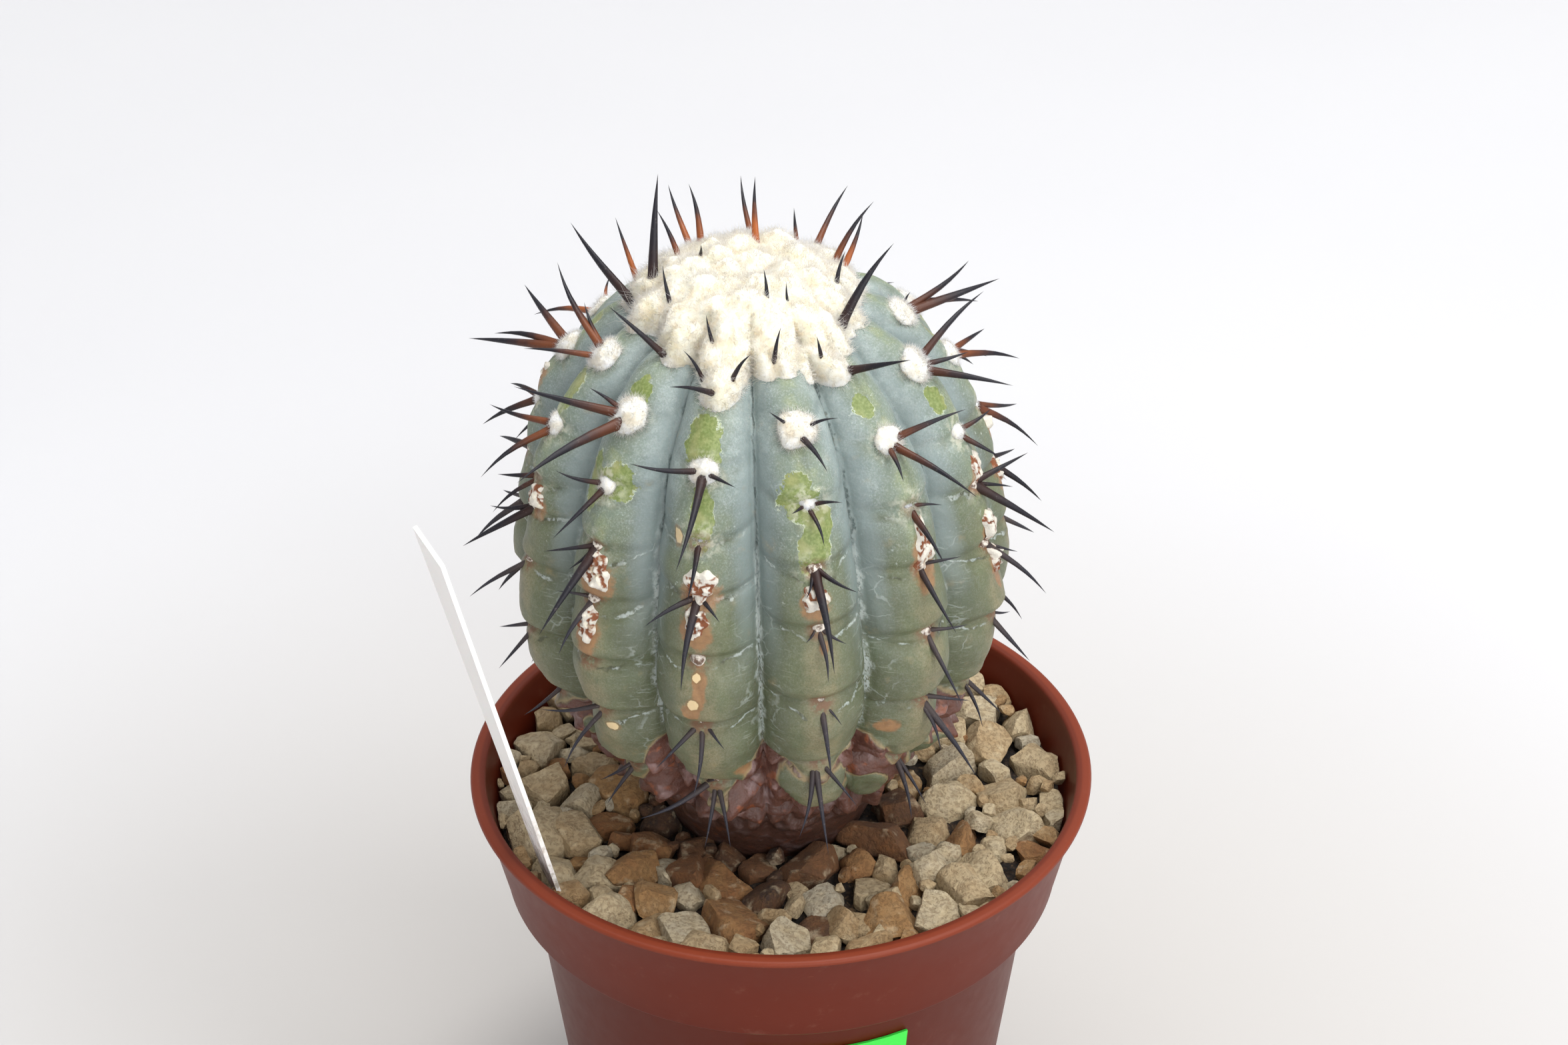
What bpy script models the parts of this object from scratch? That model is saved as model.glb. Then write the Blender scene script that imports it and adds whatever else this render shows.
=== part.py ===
"""Potted copiapoa cactus: a ribbed, woolly-crowned stem standing in gravel in a plain plastic pot.

Sizes below are millimetres and are scaled to metres as the meshes are made. The origin is the
middle of the pot's foot, +Z is up, and -Y is the side that faces the viewer. Heights of the plant
are given above the pot's lip, where they are easiest to measure.
"""
import math
import random

import bmesh
import bpy
import numpy as np
from mathutils import Matrix, Vector

MM = 0.001
GAP = 0.3

# Pot
POT_HEIGHT = 104.0
LIP_RADIUS = 60.0
LIP_WIDTH = 3.0
LIP_THICK = 1.1
BAND_TOP_RADIUS = 58.2
BAND_FOOT_RADIUS = 54.0
BAND_HEIGHT = 22.5
WALL_TOP_RADIUS = 49.5
FOOT_RADIUS = 39.8
WALL = 1.5
FLOOR = 2.0
POT_SEGMENTS = 44
DRAIN_HOLES = 6
DRAIN_RADIUS = 4.0
DRAIN_CIRCLE = 29.0

# Soil and gravel, as depths below the lip
SOIL_DEPTH = 15.0
BED_DEPTH = 8.5
STONE_DEPTH = 7.2
STONE_RADII = (2.6, 6.2)
STONE_COUNT = 78
STONE_FLAT = (0.62, 0.9)
HOLE_SIDES = 24

# Stem: height above the lip, radius at the rib crests, radius in the furrows
STEM_PROFILE = (
    (-34.0, 0.0, 0.0),
    (-31.0, 5.5, 5.5),
    (-20.0, 13.5, 13.5),
    (-8.0, 19.5, 19.0),
    (0.0, 24.0, 22.5),
    (6.0, 28.0, 25.5),
    (12.0, 32.5, 28.5),
    (18.0, 37.0, 31.5),
    (24.0, 40.5, 34.3),
    (33.0, 43.8, 37.0),
    (44.0, 46.4, 39.3),
    (57.0, 45.4, 38.3),
    (66.0, 43.6, 36.8),
    (74.0, 41.7, 34.9),
    (82.0, 39.0, 32.3),
    (90.0, 34.2, 27.8),
    (96.5, 27.5, 22.0),
    (100.5, 20.5, 16.5),
    (102.3, 13.0, 11.0),
    (102.2, 6.0, 5.5),
    (101.8, 0.0, 0.0),
)
STEM_AXIS_X = -3.4
STEM_LEAN = -0.02
STEM_LEAN_FROM = 44.0
RIBS = 13
RIB_ROUNDNESS = 0.75
RIB_COLUMNS = (-0.5, -0.32, -0.11, 0.11, 0.32)
RING_SPACING = 4.0
ROOT_RING_SPACING = 9.0
# Height above the lip, and how far a rib draws in under the chin over each areole
CHIN_DEPTH = ((-10.0, 0.0), (2.0, 1.0), (14.0, 2.6), (28.0, 3.4), (40.0, 1.9), (55.0, 1.0), (80.0, 0.5), (98.0, 0.3))

# Areoles of the ribs that face the viewer: height above the lip, then each spine as clock hour
# seen from outside, a slash and its length. Rib 0 is just left of the middle, rib 1 just right.
SEEN_RIBS = {
    0: ((87, "9/12 3.5/7 6/19"), (76, "6/10"), (66, "8/10 6/16 4/6"), (54, ""),
        (40, "7.5/11 6/13 4/6"), (22, "9/15 5.5/12")),
    1: ((93, "10/5 3/6 5.5/10"), (82, "8.5/3 5.7/7 3/5"), (71, "7/5 6/18 4/8"),
        (60, "8/3 6/9 4/5"), (45, "6/13 4.7/5"), (29, "7/15 6/14 4.7/13")),
    2: ((88, "3/13 7/8 5.3/17"), (77, "3.5/5 6/11"), (66, "3/7 6/13"), (53, "3/7 6/14"),
        (38, "3.5/10 6/17"), (22, "6/9")),
    3: ((94, "3/18 4.2/9 5.5/16"), (82, "3/7 5.5/8"), (72, "3/12 4.2/8 5.2/18"),
        (60, "4.5/7 5.5/15"), (45, "5.5/13 3.8/5"), (30, "5.3/12 7/10")),
    4: ((97, "4.3/18 5/20 3.5/4"), (88, "4/11 5.2/15"), (77, "4.5/13 6/15"), (65, "4/10 6/14"), (53, "5/13"), (38, "5.5/14")),
    -1: ((92, "9.3/7 8.5/19 6.5/22"), (81, "9/8 6.5/12"), (70, "8.3/9 6.2/18 7/6"),
         (60, "9/6 6.2/11"), (48, ""), (36, "8.5/12 6/14"), (20, "7/8")),
    -2: ((96, "9.5/18 9.7/9 7.2/13"), (84, "8.3/13 6/15"), (74, "8/9 6.5/11"), (68, "8/10 7/17"),
         (57, "7/15"), (43, "8/9 6.5/12"), (28, "7/11")),
    -3: ((90, "8.5/18 7.2/17 7/22"), (79, "8/10 6.5/14"), (68, "8/12"), (57, "8/9 6.3/15"),
         (44, "6.5/12"), (29, "6/11")),
}
# The other ribs follow the same spacing down the rib, each a part of a step below its neighbour
RULE_HEIGHTS = (98.0, 87.3, 76.0, 66.0, 54.0, 40.0, 22.0)
RULE_SHIFT = 7.0 / 13.0
RULE_HOURS = (6.2, 8.6, 3.4)
RULE_LENGTHS = (16.0, 10.0, 8.0)
LEAN_FROM_SKIN_NORMAL = math.radians(55.0)

AREOLE_SIDES = 5
BARE_BELOW = 50.0
RULE_TOP = 93.0
SPINE_SIDES = 3
SPINE_ROOT = 1.6
STRAIGHT_SPINE = 9.5

# Crown wool, as thickness over the crown at distances out from its middle. It lies further out
# on the left than on the right, and a lobe of it runs down some of the ribs
WOOL_THICKNESS = ((0.0, 6.0), (9.0, 6.6), (16.0, 6.0), (21.0, 4.6), (24.0, 2.8))
WOOL_REACH = 22.7
WOOL_LEFTWARDS = 1.5
WOOL_LOBE = 5.8
WOOL_LOBE_RIBS = (0, 2, 6, 8)
WOOL_LOBE_SPREAD = 9.0
WOOL_HUGS = (10.0, 20.0)
WOOL_COLUMNS = 4 * RIBS
WOOL_RINGS = 6
WOOL_TUFTS = 48
# Spines that stand out of the wool: degrees round from the viewer's side towards +X, distance
# from the middle, clock hour, length
CROWN_SPINES = (
    (-14, 28.0, 7.8, 11.0), (-20, 26.0, 10.2, 6.5), (-8, 26.0, 2.0, 7.5), (-20, 19.5, 11.0, 5.5),
    (10, 22.0, 0.8, 6.5), (12, 12.5, 0.2, 7.5), (30, 13.5, 0.5, 5.5), (32, 24.5, 11.5, 4.5),
    (41, 26.5, 5.0, 13.0), (58, 20.5, 3.0, 16.5), (78, 15.0, 3.0, 6.5), (110, 18.5, 4.2, 10.5),
    (118, 16.0, 5.5, 11.5), (148, 15.0, 4.5, 7.0), (174, 8.0, 5.8, 11.5), (-142, 15.0, 7.0, 11.0),
    (-112, 13.5, 7.2, 9.5), (-114, 10.5, 1.8, 7.5), (-104, 21.5, 8.5, 12.0), (-90, 22.0, 8.0, 17.5),
    (-90, 17.5, 10.0, 18.0), (-58, 17.0, 10.0, 7.0), (-42, 23.0, 8.8, 13.0), (152, 24.0, 6.0, 13.0),
    (-152, 24.0, 6.5, 13.0), (180, 19.0, 5.5, 12.0),
)
CROWN_SPINE_LEAN = math.radians(35.0)

# Label: middle of the blade at its buried tip, at the gravel and at its top, its widths there,
# and the level direction in which its width runs
LABEL_KNOTS = ((-31.5, -22.5, -38.0), (-42.7, -30.0, -6.0), (-60.2, -34.1, 72.0))
LABEL_WIDTHS = (2.0, 8.0, 14.0)
LABEL_ACROSS = (0.43, -0.903, 0.0)
LABEL_THICK = 0.8
LABEL_STEPS = (3, 6)

# Sticker: where it starts below the lip, its height, and its ends round the pot from the front
STICKER_DROP = 31.0
STICKER_HEIGHT = 25.0
STICKER_ENDS = (-8.0, 28.6)
STICKER_THICK = 0.5
STICKER_GAP = 0.2

COLOURS = {
    "pot": ((0.36, 0.075, 0.04), 0.45),
    "soil": ((0.035, 0.022, 0.015), 0.95),
    "gravel": ((0.48, 0.36, 0.22), 0.9),
    "stem": ((0.22, 0.30, 0.22), 0.8),
    "crown_wool": ((0.86, 0.80, 0.66), 1.0),
    "plant_label": ((0.78, 0.78, 0.74), 0.4),
    "pot_sticker": ((0.08, 0.62, 0.10), 0.5),
}


def clear_scene():
    for item in list(bpy.data.objects):
        bpy.data.objects.remove(item)


def make_collection(name):
    group = bpy.data.collections.new(name)
    bpy.context.scene.collection.children.link(group)
    return group


def material(name):
    colour, roughness = COLOURS[name]
    made = bpy.data.materials.new(name)
    made.use_nodes = True
    shader = made.node_tree.nodes["Principled BSDF"]
    shader.inputs["Base Color"].default_value = (*colour, 1.0)
    shader.inputs["Roughness"].default_value = roughness
    shader.inputs["Metallic"].default_value = 0.0
    return made


def add_object(name, mesh, group):
    made = bpy.data.objects.new(name, mesh)
    group.objects.link(made)
    return made


def mesh_object(name, bm, group):
    """Turn a bmesh given in millimetres into an object in metres."""
    bmesh.ops.recalc_face_normals(bm, faces=bm.faces)
    bmesh.ops.scale(bm, vec=(MM, MM, MM), verts=bm.verts)
    mesh = bpy.data.meshes.new(name)
    bm.to_mesh(mesh)
    bm.free()
    return add_object(name, mesh, group)


def finish(made, smooth_angle=35.0):
    made.data.materials.clear()
    made.data.materials.append(material(made.name))
    made.data.shade_smooth()
    made.data.set_sharp_from_angle(angle=math.radians(smooth_angle))


def apply_modifiers(made):
    """Replace the object's mesh by its evaluated one, so that it can be cut and joined further."""
    graph = bpy.context.evaluated_depsgraph_get()
    mesh = bpy.data.meshes.new_from_object(made.evaluated_get(graph))
    made.modifiers.clear()
    made.data = mesh


def boolean(made, operation, cutters, solver="EXACT"):
    """Join or cut with every object of a collection, apply it, and remove those objects."""
    step = made.modifiers.new(operation.title(), "BOOLEAN")
    step.operation = operation
    step.operand_type = "COLLECTION"
    step.collection = cutters
    step.solver = solver
    apply_modifiers(made)
    for item in list(cutters.objects):
        bpy.data.objects.remove(item)


def as_cutter(made):
    made.hide_render = True
    made.display_type = "WIRE"
    return made


def loft(bm, rings):
    """Skin closed rings of points, with a fan of triangles over each end ring."""
    rows = [[bm.verts.new(p) for p in ring] for ring in rings]
    for low, high in zip(rows, rows[1:]):
        for i in range(len(low)):
            j = (i + 1) % len(low)
            if len(high) == 1:
                bm.faces.new((low[i], low[j], high[0]))
            elif len(low) == 1:
                continue
            else:
                bm.faces.new((low[i], low[j], high[j], high[i]))
        if len(low) == 1:
            for i in range(len(high)):
                bm.faces.new((low[0], high[(i + 1) % len(high)], high[i]))
    for row in (rows[0], rows[-1]):
        if len(row) > 2:
            bm.faces.new(row)


def turned(name, profile, segments, group):
    """Spin a profile of (radius, height) about Z; it runs down its outer side."""
    bm = bmesh.new()
    points = [bm.verts.new((r * MM, 0.0, z * MM)) for r, z in profile]
    for a, b in zip(points, points[1:]):
        bm.edges.new((a, b))
    mesh = bpy.data.meshes.new(name)
    bm.to_mesh(mesh)
    bm.free()
    made = add_object(name, mesh, group)
    spin = made.modifiers.new("Spin", "SCREW")
    spin.steps = segments
    spin.render_steps = segments
    spin.use_merge_vertices = True
    spin.merge_threshold = 0.00002
    apply_modifiers(made)
    return made


def inner_radius(height):
    """Inside of the pot at a height above its foot: a tapered wall, a ledge, then the band."""
    ledge = POT_HEIGHT - BAND_HEIGHT + WALL
    if height < ledge:
        share = (height - FLOOR) / (ledge - FLOOR)
        return FOOT_RADIUS + share * (WALL_TOP_RADIUS - FOOT_RADIUS) - WALL
    share = (height - ledge) / (POT_HEIGHT - ledge)
    low = BAND_FOOT_RADIUS - WALL
    return low + share * (LIP_RADIUS - LIP_WIDTH - low)


def wall_radius(height):
    """Outside of the pot's lower wall at a height above its foot."""
    top = POT_HEIGHT - BAND_HEIGHT
    return FOOT_RADIUS + (WALL_TOP_RADIUS - FOOT_RADIUS) * height / top


def make_pot(group, cutters):
    band_foot = POT_HEIGHT - BAND_HEIGHT
    ledge = band_foot + WALL
    chamfer = 1.2
    profile = [
        (0.0, FLOOR),
        (inner_radius(FLOOR), FLOOR),
        (inner_radius(ledge - 0.01), ledge),
        (inner_radius(ledge + 0.01), ledge),
        (LIP_RADIUS - LIP_WIDTH, POT_HEIGHT - 0.4),
        (LIP_RADIUS - LIP_WIDTH + 0.4, POT_HEIGHT),
        (LIP_RADIUS - 0.4, POT_HEIGHT),
        (LIP_RADIUS, POT_HEIGHT - 0.4),
        (LIP_RADIUS, POT_HEIGHT - LIP_THICK),
        (BAND_TOP_RADIUS, POT_HEIGHT - LIP_THICK - 0.3),
        (BAND_FOOT_RADIUS, band_foot + 0.4),
        (BAND_FOOT_RADIUS - 0.6, band_foot),
        (WALL_TOP_RADIUS, band_foot),
        (wall_radius(chamfer), chamfer),
        (wall_radius(0.0) - chamfer, 0.0),
        (0.0, 0.0),
    ]
    pot = turned("pot", profile, POT_SEGMENTS, group)
    for k in range(DRAIN_HOLES):
        angle = 2.0 * math.pi * (k + 0.5) / DRAIN_HOLES
        bm = bmesh.new()
        place = Matrix.Translation((DRAIN_CIRCLE * math.cos(angle), DRAIN_CIRCLE * math.sin(angle), 0.0))
        bmesh.ops.create_cone(bm, cap_ends=True, segments=12, radius1=DRAIN_RADIUS,
                              radius2=DRAIN_RADIUS, depth=4.0 * FLOOR, matrix=place)
        as_cutter(mesh_object(f"drain_{k}", bm, cutters))
    boolean(pot, "DIFFERENCE", cutters)
    finish(pot)
    return pot


def smooth_profile(knots, samples=600):
    """Hermite curve through the stem's knots: rows of height, crest radius and furrow radius."""
    knots = np.array(knots)
    chord = np.concatenate(([0.0], np.cumsum(np.linalg.norm(np.diff(knots[:, :2], axis=0), axis=1))))
    slope = np.gradient(knots, chord, axis=0)
    along = np.linspace(0.0, chord[-1], samples)
    k = np.clip(np.searchsorted(chord, along, side="right") - 1, 0, len(knots) - 2)
    span = (chord[k + 1] - chord[k])[:, None]
    t = ((along - chord[k])[:, None]) / span
    rows = ((2 * t**3 - 3 * t**2 + 1) * knots[k] + (t**3 - 2 * t**2 + t) * span * slope[k]
            + (3 * t**2 - 2 * t**3) * knots[k + 1] + (t**3 - t**2) * span * slope[k + 1])
    rows[:, 1:] = np.maximum(rows[:, 1:], 0.0)
    return along, rows


ALONG, ROWS = smooth_profile(STEM_PROFILE)
CROWN_AT = ALONG[-1]


def profile_at(s):
    """Height, crest radius and furrow radius at distance s up the rib from the root tip."""
    return tuple(float(np.interp(s, ALONG, ROWS[:, i])) for i in range(3))


def distance_at_height(height):
    rising = int(np.argmax(ROWS[:, 0]))
    return float(np.interp(height, ROWS[:rising, 0], ALONG[:rising]))


def profile_normal(s):
    """Outward normal of the crest profile, as radius and height parts."""
    z0, r0, _ = profile_at(max(s - 1.0, 0.0))
    z1, r1, _ = profile_at(min(s + 1.0, CROWN_AT))
    length = math.hypot(z1 - z0, r1 - r0)
    return (z1 - z0) / length, -(r1 - r0) / length


def axis_x(height):
    return STEM_AXIS_X + STEM_LEAN * (height - STEM_LEAN_FROM)


def rib_angle(rib):
    """Direction of a rib's crest round the stem, from the viewer's side towards +X."""
    return (rib - 0.5) * 2.0 * math.pi / RIBS


def rule_rib(rib):
    """Areoles of a rib away from the viewer, spaced like the others, with seeded spines."""
    rng = random.Random(100 + rib)
    phase = (rib * RULE_SHIFT) % 1.0
    found = []
    for level in range(len(RULE_HEIGHTS) - 1):
        height = float(np.interp(level + phase, range(len(RULE_HEIGHTS)), RULE_HEIGHTS))
        count = rng.choice((1, 2, 2))
        spines = [f"{RULE_HOURS[i] + rng.uniform(-0.6, 0.6):.1f}/{RULE_LENGTHS[i] * rng.uniform(0.7, 1.15):.0f}"
                  for i in range(count)]
        if height < RULE_TOP:
            found.append((height, " ".join(spines)))
    return tuple(found)


def rib_areoles(rib):
    rib = rib % RIBS
    near = rib if rib <= RIBS // 2 else rib - RIBS
    return SEEN_RIBS[near] if near in SEEN_RIBS else rule_rib(near)


AREOLE_HEIGHTS = [sorted(height for height, _ in rib_areoles(rib)) for rib in range(RIBS)]


def chin(rib, height):
    """How far the rib draws in at a height: most at an areole, nothing a little above it."""
    marks = AREOLE_HEIGHTS[rib % RIBS]
    below = [mark for mark in marks if mark <= height]
    above = [mark for mark in marks if mark > height]
    start = below[-1] if below else marks[0] - 16.0
    end = above[0] if above else start + 12.0
    share = min(max((height - start) / (end - start), 0.0), 1.0)
    rise = min(share / 0.24, 1.0)
    rise = rise * rise * (3.0 - 2.0 * rise)
    fall = max((share - 0.45) / 0.55, 0.0)
    depth = float(np.interp(height, [c[0] for c in CHIN_DEPTH], [c[1] for c in CHIN_DEPTH]))
    return depth * (1.0 - rise * (1.0 - 0.6 * fall * fall))


def rib_swell(angle):
    """The nearest rib, and how far the skin stands out there: 1 on its crest, 0 in a furrow."""
    turn = angle * RIBS / (2.0 * math.pi) + 0.5
    rib = math.floor(turn + 0.5)
    return rib, abs(math.cos(math.pi * (turn - rib))) ** RIB_ROUNDNESS


def stem_point(s, angle, grow=0.0):
    """Point of the stem's skin at distance s up the rib and an angle round it."""
    height, crest, furrow = profile_at(s)
    rib, swell = rib_swell(angle)
    radius = furrow + (crest - furrow) * swell - chin(rib, height) * swell
    if grow:
        out, rise = profile_normal(s)
        radius += grow * max(out, 0.0)
        height += grow * rise
    radius = max(radius, 0.0)
    return Vector((axis_x(height) + radius * math.sin(angle), -radius * math.cos(angle), POT_HEIGHT + height))


def ring_distances(low=0.0, high=None):
    """Distances up the rib at which the stem has a ring: far apart in the ground, closer above."""
    ground = distance_at_height(-6.0)
    crown = distance_at_height(99.0)
    high = CROWN_AT if high is None else high
    marks = list(np.linspace(0.0, ground, int(ground / ROOT_RING_SPACING) + 1))
    marks += list(np.linspace(ground, crown, int((crown - ground) / RING_SPACING) + 1))[1:]
    marks += list(np.linspace(crown, CROWN_AT, 4))[1:]
    return [m for m in marks if low <= m <= high]


def column_angles():
    return [rib_angle(rib) + across * 2.0 * math.pi / RIBS for rib in range(RIBS) for across in RIB_COLUMNS]


def stem_rings(distances, grow=0.0):
    rings = []
    for s in distances:
        if profile_at(s)[1] < 0.01:
            rings.append([stem_point(s, 0.0, grow)])
        else:
            rings.append([stem_point(s, angle, grow) for angle in column_angles()])
    return rings


def stem_object(name, group, grow=0.0, low=0.0, high=None):
    bm = bmesh.new()
    loft(bm, stem_rings(ring_distances(low, high), grow))
    return mesh_object(name, bm, group)


def skin_frame(rib, height):
    """Middle of an areole, with the skin's outward, upward and rightward directions there."""
    angle = rib_angle(rib)
    s = distance_at_height(height)
    here = stem_point(s, angle)
    out, rise = profile_normal(s)
    normal = Vector((out * math.sin(angle), -out * math.cos(angle), rise)).normalized()
    right = Vector((math.cos(angle), math.sin(angle), 0.0))
    up = normal.cross(right)
    return here, normal, up, right


def spine_rings(base, direction, length, radius, lift, sides=SPINE_SIDES):
    """A tapered, slightly bowed spine, from a root sunk below its base to its point."""
    side = direction.orthogonal().normalized()
    other = direction.cross(side)
    middle = base + direction * (0.45 * length) + lift * (0.05 * length)
    sections = [(base - direction * SPINE_ROOT, radius), (middle, 0.72 * radius)]
    if length < STRAIGHT_SPINE:
        sections = sections[:1]
    rings = []
    for centre, size in sections:
        rings.append([centre + (side * math.cos(a) + other * math.sin(a)) * size
                      for a in (2.0 * math.pi * k / sides for k in range(sides))])
    rings.append([base + direction * length])
    return rings


def spine_radius(length):
    return 0.42 + 0.025 * length


def add_spine(name, group, base, direction, length, lift):
    bm = bmesh.new()
    loft(bm, spine_rings(base, direction, length, spine_radius(length), lift))
    mesh_object(name, bm, group)


def clock_direction(hour, lean, normal, up, right):
    turn = math.radians(30.0 * hour)
    flat = up * math.cos(turn) + right * math.sin(turn)
    return (normal * math.cos(lean) + flat * math.sin(lean)).normalized(), flat


def areole_size(height):
    """Radius and thickness of the felt cushion: woolly near the crown, small and flat below."""
    share = min(max((height - 74.0) / 18.0, 0.0), 1.0)
    return 1.7 + 1.9 * share, 0.7 + 1.3 * share


def add_areole(name, group, rib, height):
    here, normal, up, right = skin_frame(rib, height)
    radius, thick = areole_size(height)
    bm = bmesh.new()
    rings = []
    for level, size in ((-1.6, radius), (0.35 * thick, radius), (thick, 0.55 * radius)):
        rings.append([here + normal * level + (up * math.cos(a) + right * math.sin(a)) * size
                      for a in (2.0 * math.pi * k / AREOLE_SIDES for k in range(AREOLE_SIDES))])
    loft(bm, rings)
    mesh_object(name, bm, group)


def make_stem(group, repeats):
    stem = stem_object("stem", group)
    for rib in range(RIBS):
        for level, (height, spines) in enumerate(rib_areoles(rib)):
            if height > BARE_BELOW:
                add_areole(f"areole_{rib}_{level}", repeats, rib, height)
            here, normal, up, right = skin_frame(rib, height)
            spread = 0.45 * areole_size(height)[0]
            for number, spine in enumerate(spines.split()):
                hour, length = (float(part) for part in spine.split("/"))
                direction, flat = clock_direction(hour, LEAN_FROM_SKIN_NORMAL, normal, up, right)
                add_spine(f"spine_{rib}_{level}_{number}", repeats, here + flat * spread,
                          direction, length, normal)
    boolean(stem, "UNION", repeats)
    finish(stem)
    return stem


def wool_reach(angle):
    """How far out from the crown's middle the wool lies, with a lobe over each upper areole."""
    lobes = [math.cos(angle - rib_angle(rib)) for rib in WOOL_LOBE_RIBS]
    nearest = math.degrees(math.acos(min(max(lobes), 1.0)))
    even = WOOL_REACH - WOOL_LEFTWARDS * math.sin(angle)
    return even + WOOL_LOBE * math.exp(-((nearest / WOOL_LOBE_SPREAD) ** 2))


def wool_thickness(distance, angle):
    share = distance / wool_reach(angle)
    even = float(np.interp(share * WOOL_THICKNESS[-1][0], *zip(*WOOL_THICKNESS)))
    lump = 0.6 * math.sin(5.0 * angle + 0.5 * distance) + 0.5 * math.sin(9.0 * angle - 0.7 * distance)
    return even + lump * min(distance / 6.0, 1.0) * (1.0 if share < 0.9 else 0.4)


def crown_point(distance, angle, lift):
    """Point above the crown's skin, which follows the furrows near the wool's rim."""
    s = CROWN_AT - distance
    height, crest, furrow = profile_at(s)
    out, rise = profile_normal(s)
    hug = float(np.interp(distance, WOOL_HUGS, (0.0, 1.0)))
    radius = crest - hug * (crest - furrow) * (1.0 - rib_swell(angle)[1]) + max(out, 0.0) * lift
    height = height + rise * lift
    return Vector((axis_x(height) + radius * math.sin(angle), -radius * math.cos(angle), POT_HEIGHT + height))


def crown_frame(distance, angle):
    here = crown_point(distance, angle, 0.0)
    normal = (crown_point(distance, angle, 1.0) - here).normalized()
    right = Vector((math.cos(angle), math.sin(angle), 0.0))
    return here, normal, normal.cross(right), right


def add_tuft(name, group, rng):
    """A pointed lock of wool on the crown, leaning outwards more towards the rim."""
    angle = rng.uniform(0.0, 2.0 * math.pi)
    distance = wool_reach(angle) * math.sqrt(rng.uniform(0.02, 0.98))
    here, normal, up, right = crown_frame(distance, angle)
    here = here + normal * (wool_thickness(distance, angle) - 0.2)
    lean = 0.3 + 0.9 * distance / WOOL_REACH
    direction, _ = clock_direction(6.0 + rng.uniform(-1.5, 1.5), lean, normal, up, right)
    bm = bmesh.new()
    loft(bm, spine_rings(here, direction, rng.uniform(1.4, 2.6), rng.uniform(0.9, 1.5), normal))
    mesh_object(name, bm, group)


def make_crown_wool(group, repeats, cutters):
    bm = bmesh.new()
    rings = [[crown_point(0.0, 0.0, -2.0)]]
    angles = [2.0 * math.pi * k / WOOL_COLUMNS for k in range(WOOL_COLUMNS)]
    for share in (0.35, 0.7, 1.0):
        sink = -2.5 if share < 0.6 else -7.0
        rings.append([crown_point(share * wool_reach(a), a, sink) for a in angles])
    for k in range(WOOL_RINGS, 0, -1):
        share = math.sin(0.5 * math.pi * k / WOOL_RINGS)
        rings.append([crown_point(share * wool_reach(a), a, wool_thickness(share * wool_reach(a), a))
                      for a in angles])
    rings.append([crown_point(0.0, 0.0, wool_thickness(0.0, 0.0))])
    loft(bm, rings)
    wool = mesh_object("crown_wool", bm, group)
    rng = random.Random(7)
    for number in range(WOOL_TUFTS):
        add_tuft(f"tuft_{number}", repeats, rng)
    for number, (degrees, distance, hour, length) in enumerate(CROWN_SPINES):
        angle = math.radians(degrees)
        here, normal, up, right = crown_frame(distance, angle)
        base = here + normal * (0.6 * wool_thickness(distance, angle))
        direction, _ = clock_direction(hour, CROWN_SPINE_LEAN, normal, up, right)
        add_spine(f"crown_spine_{number}", repeats, base, direction, length, normal)
    boolean(wool, "UNION", repeats)
    as_cutter(stem_object("crown_cutter", cutters, GAP, distance_at_height(80.0)))
    boolean(wool, "DIFFERENCE", cutters)
    keep_largest(wool)
    finish(wool)
    return wool


def keep_largest(made):
    """Drop the loose scraps that a cut leaves, and keep the largest body."""
    bm = bmesh.new()
    bm.from_mesh(made.data)
    left = set(bm.verts)
    bodies = []
    while left:
        body = {left.pop()}
        edge = set(body)
        while edge:
            edge = {e.other_vert(v) for v in edge for e in v.link_edges} - body
            body |= edge
        left -= body
        bodies.append(body)
    bodies.sort(key=len)
    for body in bodies[:-1]:
        bmesh.ops.delete(bm, geom=list(body), context="VERTS")
    bm.to_mesh(made.data)
    bm.free()


def label_rings(grow=0.0, longer=0.0):
    """Sections of the label's blade from its buried tip to its top."""
    knots = [Vector(knot) + Vector((0.0, 0.0, POT_HEIGHT)) for knot in LABEL_KNOTS]
    across = Vector(LABEL_ACROSS)
    face = across.cross(knots[2] - knots[1]).normalized()
    stations = []
    for part, steps in enumerate(LABEL_STEPS):
        for k in range(steps):
            share = k / steps
            width = LABEL_WIDTHS[part] + share * (LABEL_WIDTHS[part + 1] - LABEL_WIDTHS[part])
            stations.append((knots[part].lerp(knots[part + 1], share), width))
    stations.append((knots[2], LABEL_WIDTHS[2]))
    stations[0] = (knots[0] - (knots[1] - knots[0]).normalized() * longer, LABEL_WIDTHS[0])
    rings = []
    for centre, width in stations:
        half, thick = 0.5 * width + grow, 0.5 * LABEL_THICK + grow
        rings.append([centre + across * x * half + face * y * thick
                      for x, y in ((-1, -1), (1, -1), (1, 1), (-1, 1))])
    return rings


def make_label(group):
    bm = bmesh.new()
    loft(bm, label_rings())
    label = mesh_object("plant_label", bm, group)
    finish(label)
    return label


def label_cutter(group):
    bm = bmesh.new()
    loft(bm, label_rings(GAP, 1.0))
    return as_cutter(mesh_object("label_cutter", bm, group))


def neck_cutter(group):
    """A plain round hole that clears the root and the neck."""
    bm = bmesh.new()
    rings = []
    for s in ring_distances(0.0, distance_at_height(12.0)):
        height, radius, _ = profile_at(s)
        reach = (radius + GAP) / math.cos(math.pi / HOLE_SIDES)
        rings.append([Vector((axis_x(height) + reach * math.sin(a), -reach * math.cos(a), POT_HEIGHT + height))
                      for a in (2.0 * math.pi * k / HOLE_SIDES for k in range(HOLE_SIDES))])
    rings.insert(0, [rings[0][0].lerp(rings[0][HOLE_SIDES // 2], 0.5) - Vector((0.0, 0.0, 1.0))])
    loft(bm, rings)
    return as_cutter(mesh_object("neck_cutter", bm, group))


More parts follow.
